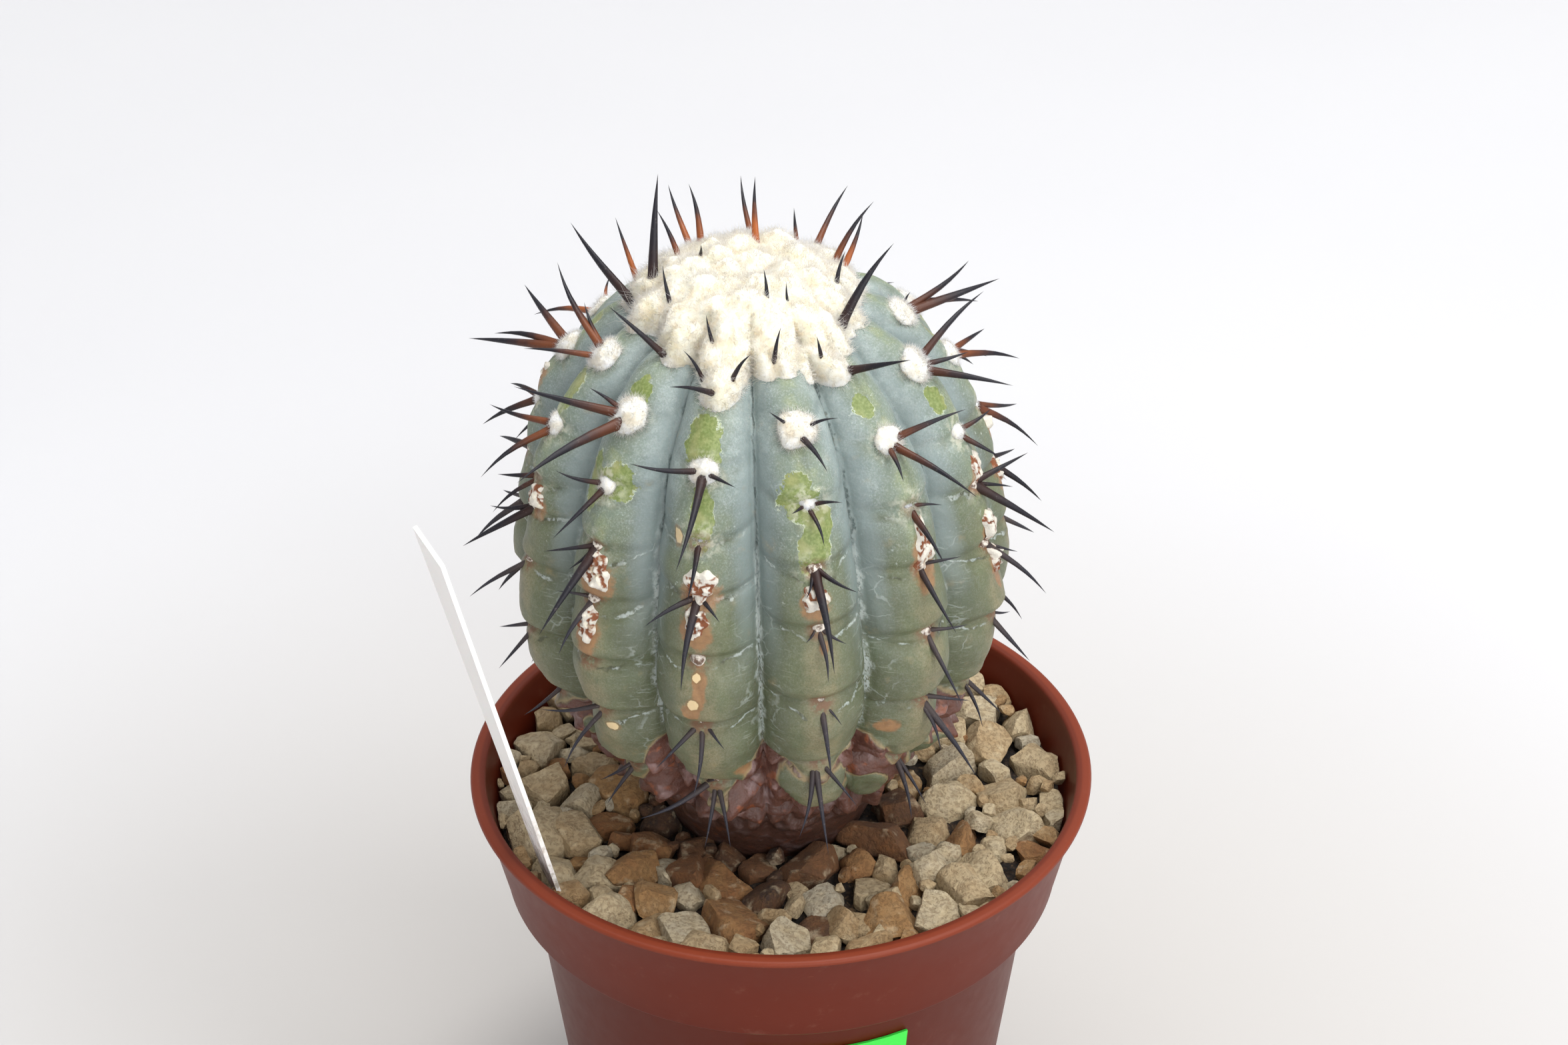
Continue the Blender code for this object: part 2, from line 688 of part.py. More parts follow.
def make_soil(group, cutters):
    """Potting mix that fills the pot, with plain holes for the root and the label."""
    top = POT_HEIGHT - SOIL_DEPTH
    ledge = POT_HEIGHT - BAND_HEIGHT + WALL + GAP
    foot = FLOOR + GAP
    profile = [
        (0.0, top),
        (inner_radius(top) - GAP, top),
        (inner_radius(ledge) - GAP, ledge),
        (inner_radius(ledge - 2.0 * GAP) - GAP, ledge),
        (inner_radius(foot) - GAP, foot),
        (0.0, foot),
    ]
    soil = turned("soil", profile, POT_SEGMENTS, group)
    neck_cutter(cutters)
    label_cutter(cutters)
    boolean(soil, "DIFFERENCE", cutters)
    finish(soil)
    return soil


def stone_places(rng):
    """Spread stones over the ring of ground between the neck and the wall, none too close."""
    places = []
    tries = 0
    while len(places) < STONE_COUNT and tries < 20000:
        tries += 1
        size = rng.triangular(*STONE_RADII, 3.6)
        angle = rng.uniform(0.0, 2.0 * math.pi)
        outer = LIP_RADIUS - LIP_WIDTH - 1.6 - 0.9 * size
        distance = math.sqrt(rng.uniform(25.0**2, outer**2))
        x, y = distance * math.cos(angle), distance * math.sin(angle)
        near_neck = math.hypot(x - axis_x(-6.0), y) < 22.5 + 0.5 * size
        crowded = any(math.hypot(x - px, y - py) < 0.9 * (size + ps) for px, py, ps in places)
        if not near_neck and not crowded:
            places.append((x, y, size))
    return places


def add_stone(name, group, rng, x, y, size):
    """An angular pebble: a jittered, flattened icosahedron kept inside the pot's wall."""
    bm = bmesh.new()
    bmesh.ops.create_icosphere(bm, subdivisions=1, radius=size)
    flat = rng.uniform(*STONE_FLAT)
    longer = rng.uniform(0.95, 1.3)
    turn = Matrix.Rotation(rng.uniform(0.0, math.pi), 3, "Z")
    tilt = Matrix.Rotation(rng.uniform(-0.35, 0.35), 3, "X")
    lift = POT_HEIGHT - STONE_DEPTH - 0.25 * size + rng.uniform(-0.6, 0.9)
    for vert in bm.verts:
        point = Vector((vert.co.x * longer, vert.co.y / longer, vert.co.z * flat))
        point *= rng.uniform(0.86, 1.1)
        point = turn @ tilt @ point + Vector((x, y, lift))
        point.z = min(point.z, POT_HEIGHT - 1.5)
        limit = inner_radius(max(point.z, 90.0)) - 2.0 * GAP
        reach = math.hypot(point.x, point.y)
        if reach > limit:
            point.x *= limit / reach
            point.y *= limit / reach
        vert.co = point
    mesh_object(name, bm, group)


def make_gravel(group, repeats, cutters):
    """A bed of grit with the larger stones of the top layer standing out of it."""
    low = POT_HEIGHT - SOIL_DEPTH + GAP
    high = POT_HEIGHT - BED_DEPTH
    profile = [(0.0, high), (inner_radius(high) - 2.0 * GAP, high), (inner_radius(low) - 2.0 * GAP, low), (0.0, low)]
    gravel = turned("gravel", profile, POT_SEGMENTS, group)
    rng = random.Random(21)
    for number, (x, y, size) in enumerate(stone_places(rng)):
        add_stone(f"stone_{number}", repeats, rng, x, y, size)
    boolean(gravel, "UNION", repeats)
    neck_cutter(cutters)
    label_cutter(cutters)
    boolean(gravel, "DIFFERENCE", cutters)
    keep_largest(gravel)
    finish(gravel)
    return gravel


def make_sticker(group):
    """A plain patch that follows the pot's lower wall."""
    bm = bmesh.new()
    columns = 8
    rows = 2
    layers = []
    for offset in (STICKER_GAP, STICKER_GAP + STICKER_THICK):
        grid = []
        for row in range(rows):
            height = POT_HEIGHT - STICKER_DROP - STICKER_HEIGHT * row / (rows - 1)
            radius = wall_radius(height) + offset
            line = []
            for column in range(columns + 1):
                angle = math.radians(STICKER_ENDS[0] + (STICKER_ENDS[1] - STICKER_ENDS[0]) * column / columns)
                line.append(Vector((radius * math.sin(angle), -radius * math.cos(angle), height)))
            grid.append(line)
        layers.append(grid)
    sections = [[layers[0][0][c], layers[1][0][c], layers[1][1][c], layers[0][1][c]] for c in range(columns + 1)]
    loft(bm, sections)
    sticker = mesh_object("pot_sticker", bm, group)
    finish(sticker)
    return sticker


def build():
    clear_scene()
    plant = make_collection("copiapoa_cactus")
    repeats = make_collection("repeats")
    cutters = make_collection("cutters")
    make_pot(plant, cutters)
    make_soil(plant, cutters)
    make_gravel(plant, repeats, cutters)
    make_stem(plant, repeats)
    make_crown_wool(plant, repeats, cutters)
    make_label(plant)
    make_sticker(plant)


build()
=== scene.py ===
"""Looks of a potted copiapoa cactus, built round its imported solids.

Lengths are millimetres and are scaled to metres as each mesh is made. The origin is the middle of
the pot's foot, +Z is up and -Y faces the viewer. Heights of the plant are given above the pot's
lip. Nothing on the object moves, so every piece rides on the one body.
"""
import math
import random

import bmesh
import bpy
import numpy as np
from mathutils import Matrix, Vector


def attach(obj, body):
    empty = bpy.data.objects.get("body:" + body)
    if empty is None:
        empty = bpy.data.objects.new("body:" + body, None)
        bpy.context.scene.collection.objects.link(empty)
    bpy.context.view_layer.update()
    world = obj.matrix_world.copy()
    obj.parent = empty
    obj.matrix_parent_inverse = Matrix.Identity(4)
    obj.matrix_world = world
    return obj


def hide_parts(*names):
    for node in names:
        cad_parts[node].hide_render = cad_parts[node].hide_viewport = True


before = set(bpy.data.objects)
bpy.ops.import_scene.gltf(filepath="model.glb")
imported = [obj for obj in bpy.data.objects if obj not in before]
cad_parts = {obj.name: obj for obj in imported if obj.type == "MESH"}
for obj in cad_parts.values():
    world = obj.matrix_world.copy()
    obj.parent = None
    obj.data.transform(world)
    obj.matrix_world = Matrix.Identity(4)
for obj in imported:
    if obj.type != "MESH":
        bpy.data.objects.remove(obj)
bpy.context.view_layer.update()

MM = 0.001
TAU = 2.0 * math.pi
LIP = 104.0

# Camera, from the photograph's perspective
PHOTO_WIDTH = 2352
PHOTO_HEIGHT = 1568
LENS = 70.0
SENSOR = 36.0
CAMERA_DISTANCE = 561.3
CAMERA_PITCH = math.radians(32.8)
CAMERA_ROLL = math.radians(-0.27)
CAMERA_TARGET = (0.82, 0.0, 158.5)

# Stem: height above the lip, radius at the rib crests, radius in the furrows
STEM_PROFILE = (
    (-34.0, 0.0, 0.0), (-31.0, 5.5, 5.5), (-20.0, 13.5, 13.5), (-8.0, 19.5, 19.0), (0.0, 24.0, 22.5),
    (6.0, 28.0, 25.5), (12.0, 32.5, 28.5), (18.0, 37.0, 31.5), (24.0, 40.5, 34.3), (33.0, 43.8, 37.0),
    (44.0, 46.4, 39.3), (57.0, 45.4, 38.3), (66.0, 43.6, 36.8), (74.0, 41.7, 34.9), (82.0, 39.0, 32.3),
    (90.0, 34.2, 27.8), (96.5, 27.5, 22.0), (100.5, 20.5, 16.5), (102.3, 13.0, 11.0), (102.2, 6.0, 5.5),
    (101.8, 0.0, 0.0),
)
STEM_AXIS_X = -3.4
STEM_LEAN = -0.02
STEM_LEAN_FROM = 44.0
RIBS = 13
RIB_ROUNDNESS = 0.75
RIB_COLUMNS = 24
# Width of a rib and the stem's radius where the marks are, to turn their millimetres into shares
RIB_PITCH = 19.0
MARK_RADIUS = 42.0
NO_MARK = -4.0
# How far the ribs draw in at an areole: height above the lip, depth
CHIN_DEPTH = (
    (-10.0, 0.0), (2.0, 1.0), (14.0, 2.8), (28.0, 3.9), (40.0, 2.7), (55.0, 1.7), (80.0, 0.8), (98.0, 0.3),
)
# Heights of the skin's bands: root, neck, body and what the wool hides
NECK_FOOT = -9.0
NECK_TOP = 16.0
BODY_TOP = 99.0
BARK_TOP = 29.0

# Areoles of the ribs that face the viewer: height, then each spine as clock hour and length
SEEN_RIBS = {
    0: ((87, "9/12 3.5/7 6/19"), (76, "6/10"), (66, "8/10 6/16 4/6"), (54, ""),
        (40, "7.5/11 6/13 4/6"), (22, "8.3/15 6.1/12 5.2/12")),
    1: ((93, "10/5 3/6 5.5/10"), (82, "8.5/3 5.7/7 3/5"), (71, "7/5 6/18 4/8"),
        (60, "8/3 6/9 4/5"), (45, "6/13 4.7/5"), (29, "6.8/14 6/17 4.7/11")),
    2: ((88, "3/13 7/8 5.3/17"), (77, "3.5/5 6/11"), (66, "3/7 6/13"), (53, "3/7 6/14"),
        (38, "3.5/9 5.4/18 6/10"), (22, "5.6/11 6.4/12")),
    3: ((94, "3/18 4.2/9 5.5/16"), (82, "3/7 5.5/8"), (72, "3/12 4.2/8 5.2/18"),
        (60, "4.5/7 5.5/15"), (45, "5.5/13 3.8/5"), (30, "5.3/12 7/10")),
    4: ((97, "4.3/18 5/20 3.5/4"), (88, "4/11 5.2/15"), (77, "4.5/13 6/15"), (65, "4/10 6/14"),
        (53, "5/13"), (38, "5.5/14")),
    -1: ((92, "9.3/7 8.5/19 6.5/22"), (81, "9/8 6.5/12"), (70, "8.3/9 6.2/18 7/6"),
         (60, "9/6 6.2/11"), (48, ""), (36, "8.6/12 6.6/14"), (20, "6.6/10 7.6/8")),
    -2: ((96, "9.5/18 9.7/9 7.2/13"), (84, "8.3/13 6/15"), (74, "8/9 6.5/11"), (68, "8/10 7/17"),
         (57, "7/15"), (43, "8/9 6.5/12"), (28, "7/11")),
    -3: ((90, "8.5/18 7.2/17 7/22"), (79, "8/10 6.5/14"), (68, "8/12"), (57, "8/9 6.3/15"),
         (44, "6.5/12"), (29, "6/11")),
}
# Rule for the ribs behind: heights, shift from rib to rib, then clock hours and lengths of the spines
RULE_HEIGHTS = (98.0, 87.3, 76.0, 66.0, 54.0, 40.0, 22.0)
RULE_SHIFT = 7.0 / 13.0
RULE_HOURS = (6.2, 8.6, 3.4)
RULE_LENGTHS = (16.0, 10.0, 8.0)
RULE_TOP = 93.0
SPINE_LEAN = math.radians(55.0)
SPINE_SIDES = 9
SPINE_STEPS = (-0.12, 0.0, 0.1, 0.25, 0.42, 0.58, 0.72, 0.84, 0.93, 0.98)
SPINE_SUNK = 12.0
# Felt that is still woolly is above this height, and old grey pads are below it
FELT_FROM = 73.0

# Crown wool: thickness by share of the even layer's reach, how far that layer reaches, how much
# further on the left, and between which distances it comes to follow the furrows
WOOL_THICKNESS = ((0.0, 5.4), (0.35, 5.4), (0.55, 4.8), (0.7, 3.7), (0.85, 1.9), (0.95, 0.7), (1.0, 0.1))
WOOL_REACH = 21.2
WOOL_LEFTWARDS = 1.5
WOOL_HUGS = (10.0, 20.0)
# Soft balls along the wool's rim: degrees round from the viewer's side towards +X, distance, radius
WOOL_RIM = (
    (-12, 26.2, 4.9), (31, 24.8, 4.8), (-34, 20.8, 4.5), (-24, 21.8, 4.6), (-53, 19.2, 4.3),
    (-72, 19.6, 4.2), (-91, 20.0, 4.4), (2, 21.8, 4.6), (16, 20.8, 4.4), (51, 20.0, 4.6), (68, 17.6, 4.3),
    (86, 16.8, 4.4), (106, 17.4, 4.2), (127, 18.0, 4.4), (152, 24.0, 4.6), (139, 18.6, 4.2),
    (168, 18.4, 4.4), (-174, 18.8, 4.3), (-152, 24.0, 4.6), (-163, 18.6, 4.2), (-138, 18.4, 4.4),
    (-118, 18.8, 4.2), (-104, 19.4, 4.4),
)
# How far a ball swells the wool, as a share of its radius, and how far light spreads in it, in m
WOOL_BULGE = 0.42
WOOL_SCATTER = 0.003

# Spines that stand out of the wool: degrees round, distance from the middle, clock hour, length
CROWN_SPINES = (
    (-14, 28.0, 7.8, 11.0), (-20, 26.0, 10.2, 6.5), (-8, 26.0, 2.0, 7.5), (-20, 19.5, 11.0, 5.5),
    (10, 22.0, 0.8, 6.5), (12, 12.5, 0.2, 7.5), (30, 13.5, 0.5, 5.5), (32, 24.5, 11.5, 4.5),
    (41, 26.5, 5.0, 13.0), (58, 20.5, 3.0, 17.0), (78, 15.0, 3.0, 7.5), (110, 18.5, 4.2, 12.5),
    (118, 16.0, 5.5, 14.0), (148, 15.0, 4.5, 8.0), (174, 8.0, 5.8, 14.0), (-142, 15.0, 7.0, 13.0),
    (-112, 13.5, 7.2, 11.0), (-114, 10.5, 1.8, 8.0), (-104, 21.5, 8.5, 13.5), (-90, 22.0, 8.0, 18.0),
    (-90, 17.5, 10.0, 20.0), (-58, 17.0, 10.0, 8.0), (-42, 23.0, 8.8, 13.0), (152, 24.0, 6.0, 15.0),
    (-152, 24.0, 6.5, 15.0), (180, 19.0, 5.5, 13.5),
)
CROWN_SPINE_LEAN = math.radians(35.0)

# Places where the bloom has rubbed off: rib, place across it from -0.5 to 0.5, height, half the
# width as a share of the rib, half the height
RUBBED = (
    (0, -0.03, 91.0, 0.2, 4.6), (0, 0.02, 80.0, 0.1, 6.0), (1, -0.08, 82.5, 0.16, 4.2),
    (1, 0.02, 75.5, 0.13, 5.6), (1, 0.12, 79.0, 0.09, 3.0), (-1, 0.0, 94.6, 0.14, 2.4),
    (-1, -0.17, 81.0, 0.13, 5.2), (-1, 0.08, 82.0, 0.2, 3.2), (-2, -0.03, 89.0, 0.15, 4.6),
    (-2, -0.05, 84.0, 0.11, 3.2), (-3, -0.05, 95.0, 0.16, 2.4), (3, -0.1, 89.0, 0.1, 2.0),
    (4, 0.05, 92.0, 0.12, 2.4), (2, -0.12, 93.5, 0.1, 1.6),
)
# Ribs whose rubbed places and crusts are seeded
RULE_RUBBED = range(5, 10)
RULE_CRUSTED = range(4, 10)
# Old areoles that have turned to a crust: rib, across, height, half width and half height
CRUSTS = (
    (0, 0.03, 68.7, 2.7, 3.2), (0, 0.0, 62.0, 2.0, 2.9), (1, -0.02, 66.2, 2.2, 2.3),
    (2, 0.03, 70.0, 2.1, 5.2), (-1, 0.05, 66.0, 2.6, 3.3), (-1, 0.0, 55.6, 1.8, 3.1),
    (3, 0.0, 75.4, 1.5, 3.2), (3, 0.02, 64.0, 1.7, 3.0), (3, 0.04, 57.0, 1.5, 2.4),
    (-2, 0.08, 70.9, 2.0, 2.4), (-3, 0.04, 84.5, 1.4, 1.9),
)
# Rust-coloured stains, and spots where pale cork shows: rib, across, height, half width, half height
STAINS = (
    (0, 0.02, 49.0, 1.2, 5.0), (0, -0.05, 44.0, 1.6, 2.2), (2, -0.3, 33.0, 2.0, 1.6),
    (0, 0.36, 27.0, 2.4, 1.6), (0, 0.02, 58.0, 1.3, 1.8), (2, 0.05, 63.0, 1.4, 1.6),
    (-1, 0.02, 51.0, 1.3, 2.4), (3, 0.05, 52.5, 1.2, 2.2), (1, 0.02, 56.8, 0.9, 1.4),
    (4, 0.06, 93.5, 1.2, 1.0),
)
CORK_SPOTS = (
    (0, -0.19, 76.3, 0.8, 1.7), (0, -0.03, 45.6, 0.9, 1.2), (0, 0.0, 51.0, 0.7, 0.9),
    (-1, 0.1, 33.0, 1.2, 0.7),
)
# Brightness of the skin under its green marks, against the colours that its material names
SKIN_TONE = 0.67

# Stones that can be told apart in the photo: its column and row, radius and tone, and their height
SEEN_STONES = (
    (1083, 1308, 5.0, 0.72), (1097, 1364, 6.4, 0.70), (945, 1290, 4.6, 0.64), (898, 1302, 4.2, 0.2),
    (983, 1338, 4.4, 0.58), (942, 1343, 3.2, 0.74), (900, 1368, 5.6, 0.22), (1024, 1385, 5.0, 0.12),
    (1052, 1412, 4.6, 0.34), (973, 1381, 3.4, 0.46), (990, 1410, 3.0, 0.2), (1175, 1404, 5.8, 0.12),
    (1114, 1414, 2.9, 0.4), (1236, 1420, 3.8, 0.30), (1228, 1376, 4.4, 0.9), (1262, 1372, 3.4, 0.44),
    (1298, 1366, 4.0, 0.36), (1340, 1369, 5.0, 0.6), (1298, 1410, 4.2, 0.46), (1238, 1338, 4.2, 0.04),
    (1302, 1321, 4.6, 0.24), (1356, 1317, 4.4, 0.62), (1392, 1290, 3.6, 0.14), (1150, 1330, 4.2, 0.94),
    (1000, 1290, 3.2, 0.1), (976, 1255, 4.0, 0.74), (1031, 1299, 3.4, 0.82), (1404, 1356, 5.2, 0.16),
    (1452, 1326, 5.0, 0.3), (1478, 1296, 5.8, 0.22), (1560, 1130, 5.6, 0.28), (820, 1170, 5.8, 0.30),
    (806, 1238, 5.4, 0.24), (868, 1246, 4.6, 0.34), (1530, 1225, 5.4, 0.18), (1500, 1180, 4.8, 0.3),
)
SEEN_STONE_HEIGHT = -5.5
# Seeded stones: smallest and largest radius, how many, and how close they may stand as a share of
# their radii; then the ring that they lie in and what they keep clear of
STONE_SIZES = ((4.8, 6.4, 36, 0.92), (3.5, 4.8, 80, 0.84), (2.2, 3.4, 76, 0.78), (1.1, 2.0, 90, 0.68))
STONE_TRIES = 9000
STONES_FROM = 21.0
STONES_TO = 56.4
NECK_HEIGHT = -6.0
NECK_CLEAR = 20.5
# Within this distance of the neck most stones take the darkest tones, as painted shade under the plant
NECK_SHADE_REACH = 27.0
LABEL_FOOT = (-42.7, -30.0)
LABEL_CLEAR = 1.5
# Depths below the lip of the stones, the bed and the bed's turned-down edges, and the bed's hole
STONE_DEPTH = 7.2
BED_DEPTH = 9.6
BED_EDGE_DEPTH = 14.5
BED_HOLE = 16.0
# Tones that the seeded stones take, and the stones' colours by tone as screen values; the darkest, which most
# stones beside the neck take, is painted shade under the plant
STONE_TONE_RANGES = ((0.0, 0.3), (0.1, 0.4), (0.25, 0.5), (0.5, 0.75))
STONE_TONES = (
    (0.0, (176, 167, 147)), (0.2, (172, 155, 124)), (0.42, (158, 134, 99)),
    (0.6, (144, 109, 68)), (0.78, (120, 79, 45)), (1.0, (48, 34, 27)),
)

# Pot, with the flare of its band and the middle of that wall at height 0
POT_SEGMENTS = 176
BAND_HEIGHT = 22.5
WALL_TOP_RADIUS = 49.5
FOOT_RADIUS = 39.8
DRAIN_HOLES = 6
DRAIN_RADIUS = 4.0
DRAIN_CIRCLE = 29.0
BAND_FOOT = LIP - BAND_HEIGHT
LEDGE = BAND_FOOT + 1.5
LEDGE_RADIUS = 52.5
MOUTH_RADIUS = 57.0
BAND_KNEE = 93.0
BAND_FLARE = 0.24
BAND_MIDDLE = 55.6 - BAND_FLARE * BAND_KNEE

# Stage, in millimetres: the floor's rings, and where it starts to rise
FLOOR_COLUMNS = 110
FLOOR_RINGS = ((0.0, 1200.0, 46), (1300.0, 8000.0, 20))
FLOOR_DEPTH = 0.3
FLOOR_RISES_FROM = 1600.0
FLOOR_RISE = 5200.0
# Lights in metres and watts: name, place, size, energy and tint
LIGHTS = (
    ("overhead", (0.25, 0.15, 3.0), 4.2, 68.0, (1.0, 0.995, 0.98)),
    ("key", (0.25, 0.1, 1.8), 0.5, 11.0, (1.0, 0.99, 0.97)),
    ("front_right", (1.1, -0.7, 1.4), 0.9, 13.0, (1.0, 1.0, 1.0)),
    ("front", (0.7, -2.1, 0.9), 1.6, 24.0, (1.0, 1.0, 1.0)),
)
LIGHT_AIM = Vector((0.0, 0.0, 0.15))
WORLD_TINT = (0.98, 0.99, 1.0, 1.0)
WORLD_STRENGTH = 0.52


# Numbers
def lattice(x, y, z, seed):
    """Repeatable values from -1 to 1 for the corners of a grid."""
    mixed = (x * 374761393 + y * 668265263 + z * 1440662683 + seed * 974711) & 0xFFFFFFFF
    mixed = ((mixed ^ (mixed >> 13)) * 1274126177) & 0xFFFFFFFF
    return ((mixed ^ (mixed >> 16)) & 0xFFFF) / 32767.5 - 1.0


def noise(points, size, seed=0, octaves=1):
    """Smooth noise from -1 to 1 over an array of points, with features of a size in millimetres."""
    total = np.zeros(len(points))
    for octave in range(octaves):
        spot = points * (2.0**octave / size) + 17.31 * (octave + 1)
        cell = np.floor(spot).astype(np.int64)
        t = spot - cell
        t = t * t * (3.0 - 2.0 * t)
        value = np.zeros(len(points))
        for step in np.ndindex(2, 2, 2):
            x, y, z = (t[:, i] if step[i] else 1 - t[:, i] for i in range(3))
            value += x * y * z * lattice(*(cell + step).T, seed + octave)
        total += 0.5**octave * value
    return total


def smooth(low, high, value):
    t = np.clip((np.asarray(value, float) - low) / (high - low), 0.0, 1.0)
    return t * t * (3.0 - 2.0 * t)


def unit(vectors):
    return vectors / np.maximum(np.linalg.norm(vectors, axis=-1, keepdims=True), 1e-9)


def linear(red, green, blue):
    """Screen colour from 0 to 255 as the linear values that a shader takes."""
    parts = []
    for channel in (red, green, blue):
        c = channel / 255.0
        parts.append(c / 12.92 if c <= 0.04045 else ((c + 0.055) / 1.055) ** 2.4)
    return (*parts, 1.0)


# Meshes
def add_piece(name, points, faces, replaced=(), attributes=None, sharp=None):
    """Make a mesh from points in millimetres and lists of faces, and hand it to the frame."""
    mesh = bpy.data.meshes.new(name)
    mesh.vertices.add(len(points))
    mesh.vertices.foreach_set("co", (np.asarray(points) * MM).astype(np.float32).ravel())
    corners = np.concatenate([block.ravel() for block in faces])
    sizes = np.concatenate([np.full(len(block), block.shape[1]) for block in faces])
    mesh.loops.add(len(corners))
    mesh.loops.foreach_set("vertex_index", corners.astype(np.int32))
    mesh.polygons.add(len(sizes))
    starts = np.concatenate(([0], np.cumsum(sizes)[:-1]))
    mesh.polygons.foreach_set("loop_start", starts.astype(np.int32))
    mesh.update(calc_edges=True)
    mesh.validate()
    for key, values in (attributes or {}).items():
        layer = mesh.attributes.new(key, "FLOAT", "POINT")
        layer.data.foreach_set("value", np.asarray(values, np.float32))
    mesh.shade_smooth()
    if sharp:
        mesh.set_sharp_from_angle(angle=math.radians(sharp))
    piece = bpy.data.objects.new(name, mesh)
    bpy.context.scene.collection.objects.link(piece)
    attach(piece, "root")
    if replaced:
        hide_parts(*replaced)
    return piece


def round_turns(columns):
    return TAU * np.arange(columns) / columns


def flat_ring(radius, turns, height):
    return np.stack([radius * np.cos(turns), radius * np.sin(turns), np.full(len(turns), height)], -1)


def grid_faces(rows, columns):
    """Quads between closed rings of points that run one after the other."""
    r = np.arange(rows - 1)[:, None]
    c = np.arange(columns)[None, :]
    n = (c + 1) % columns
    quads = np.stack([r * columns + c, r * columns + n, (r + 1) * columns + n, (r + 1) * columns + c], -1)
    return quads.reshape(-1, 4)


def fan_faces(first, columns, tip, flip=False):
    c = np.arange(columns)
    ring = [first + c, first + (c + 1) % columns]
    if flip:
        ring.reverse()
    return np.stack([ring[0], ring[1], np.full(columns, tip)], -1)


def bundle(blocks):
    """Join blocks of (points, faces) whose faces all have the same number of corners."""
    starts = np.cumsum([0] + [len(block[0]) for block in blocks])
    faces = [block[1] + start for block, start in zip(blocks, starts)]
    return np.concatenate([block[0] for block in blocks]), np.concatenate(faces)


def halves(quads):
    return np.concatenate((quads[:, (0, 1, 2)], quads[:, (0, 2, 3)]))


def hairs(roots, ways, lengths, radius, bends=None):
    """Closed three-sided hairs, straight or bent once on the way to their points."""
    side = unit(np.cross(ways, np.where(np.abs(ways[:, 2:]) < 0.9, (0.0, 0.0, 1.0), (1.0, 0.0, 0.0))))
    other = np.cross(ways, side)
    turns = [TAU * k / 3 for k in range(3)]
    corners = [(side * math.cos(turn) + other * math.sin(turn)) * radius for turn in turns]
    points = [roots + corner for corner in corners]
    if bends is None:
        points.append(roots + ways * lengths[:, None])
        one = [(0, 2, 1), (0, 1, 3), (1, 2, 3), (2, 0, 3)]
    else:
        half = 0.5 * lengths[:, None]
        middle = roots + ways * half
        points += [middle + corner * 0.8 for corner in corners]
        points.append(middle + unit(ways + bends) * half)
        one = [(0, 2, 1), (3, 4, 6), (4, 5, 6), (5, 3, 6)]
        for k, n in ((0, 1), (1, 2), (2, 0)):
            one += [(k, n, n + 3), (k, n + 3, k + 3)]
    starts = len(points) * np.arange(len(roots))[:, None, None]
    return np.stack(points, 1).reshape(-1, 3), (np.array(one)[None] + starts).reshape(-1, 3)


def hair_coat(rng, points, quads, count, spread_out, lengths, radius, bend=0.0, outward=0.0):
    """Hairs spread evenly over a surface of quads, in small tufts that lean together."""
    corners = points[halves(quads)]
    facing = np.cross(corners[:, 1] - corners[:, 0], corners[:, 2] - corners[:, 0])
    area = np.linalg.norm(facing, axis=1)
    chosen = rng.choice(len(area), count, p=area / area.sum())
    u, v = np.sqrt(rng.random(count))[:, None], rng.random(count)[:, None]
    a, b, c = (corners[chosen, k] for k in range(3))
    normal = unit(facing[chosen])
    roots = a * (1.0 - u) + b * (u * (1.0 - v)) + c * (u * v) - 0.15 * normal
    tuft = np.stack([noise(roots, 1.3, 80 + k) for k in range(3)], -1)
    away = unit((roots - points.mean(axis=0)) * (1.0, 1.0, 0.0))
    ways = unit(normal + outward * away + 0.5 * tuft + rng.normal(0.0, spread_out, (count, 3)))
    length = rng.uniform(*lengths, count) * (1.0 + 0.25 * tuft[:, 0])
    return hairs(roots, ways, length, radius, rng.normal(0.0, bend, (count, 3)) if bend else None)


# The stem's form
def smooth_profile(knots, samples=900):
    """Hermite curve through the stem's knots: rows of height, crest radius and furrow radius."""
    knots = np.array(knots)
    chord = np.concatenate(([0.0], np.cumsum(np.linalg.norm(np.diff(knots[:, :2], axis=0), axis=1))))
    slope = np.gradient(knots, chord, axis=0)
    along = np.linspace(0.0, chord[-1], samples)
    k = np.clip(np.searchsorted(chord, along, side="right") - 1, 0, len(knots) - 2)
    span = (chord[k + 1] - chord[k])[:, None]
    t = ((along - chord[k])[:, None]) / span
    rows = ((2 * t**3 - 3 * t**2 + 1) * knots[k] + (t**3 - 2 * t**2 + t) * span * slope[k]
            + (3 * t**2 - 2 * t**3) * knots[k + 1] + (t**3 - t**2) * span * slope[k + 1])
    rows[:, 1:] = np.maximum(rows[:, 1:], 0.0)
    return along, rows


ALONG, ROWS = smooth_profile(STEM_PROFILE)
CROWN_AT = ALONG[-1]
RISING = int(np.argmax(ROWS[:, 0]))


def profile_at(s):
    return [np.interp(s, ALONG, ROWS[:, i]) for i in range(3)]


def distance_at_height(height):
    return np.interp(height, ROWS[:RISING, 0], ALONG[:RISING])


def profile_normal(s):
    """Outward normal of the crest profile, as radius and height parts."""
    z0, r0, _ = profile_at(np.maximum(s - 1.0, 0.0))
    z1, r1, _ = profile_at(np.minimum(s + 1.0, CROWN_AT))
    length = np.hypot(z1 - z0, r1 - r0)
    return (z1 - z0) / length, -(r1 - r0) / length


def axis_x(height):
    return STEM_AXIS_X + STEM_LEAN * (height - STEM_LEAN_FROM)


def rib_angle(rib):
    return (rib - 0.5) * TAU / RIBS


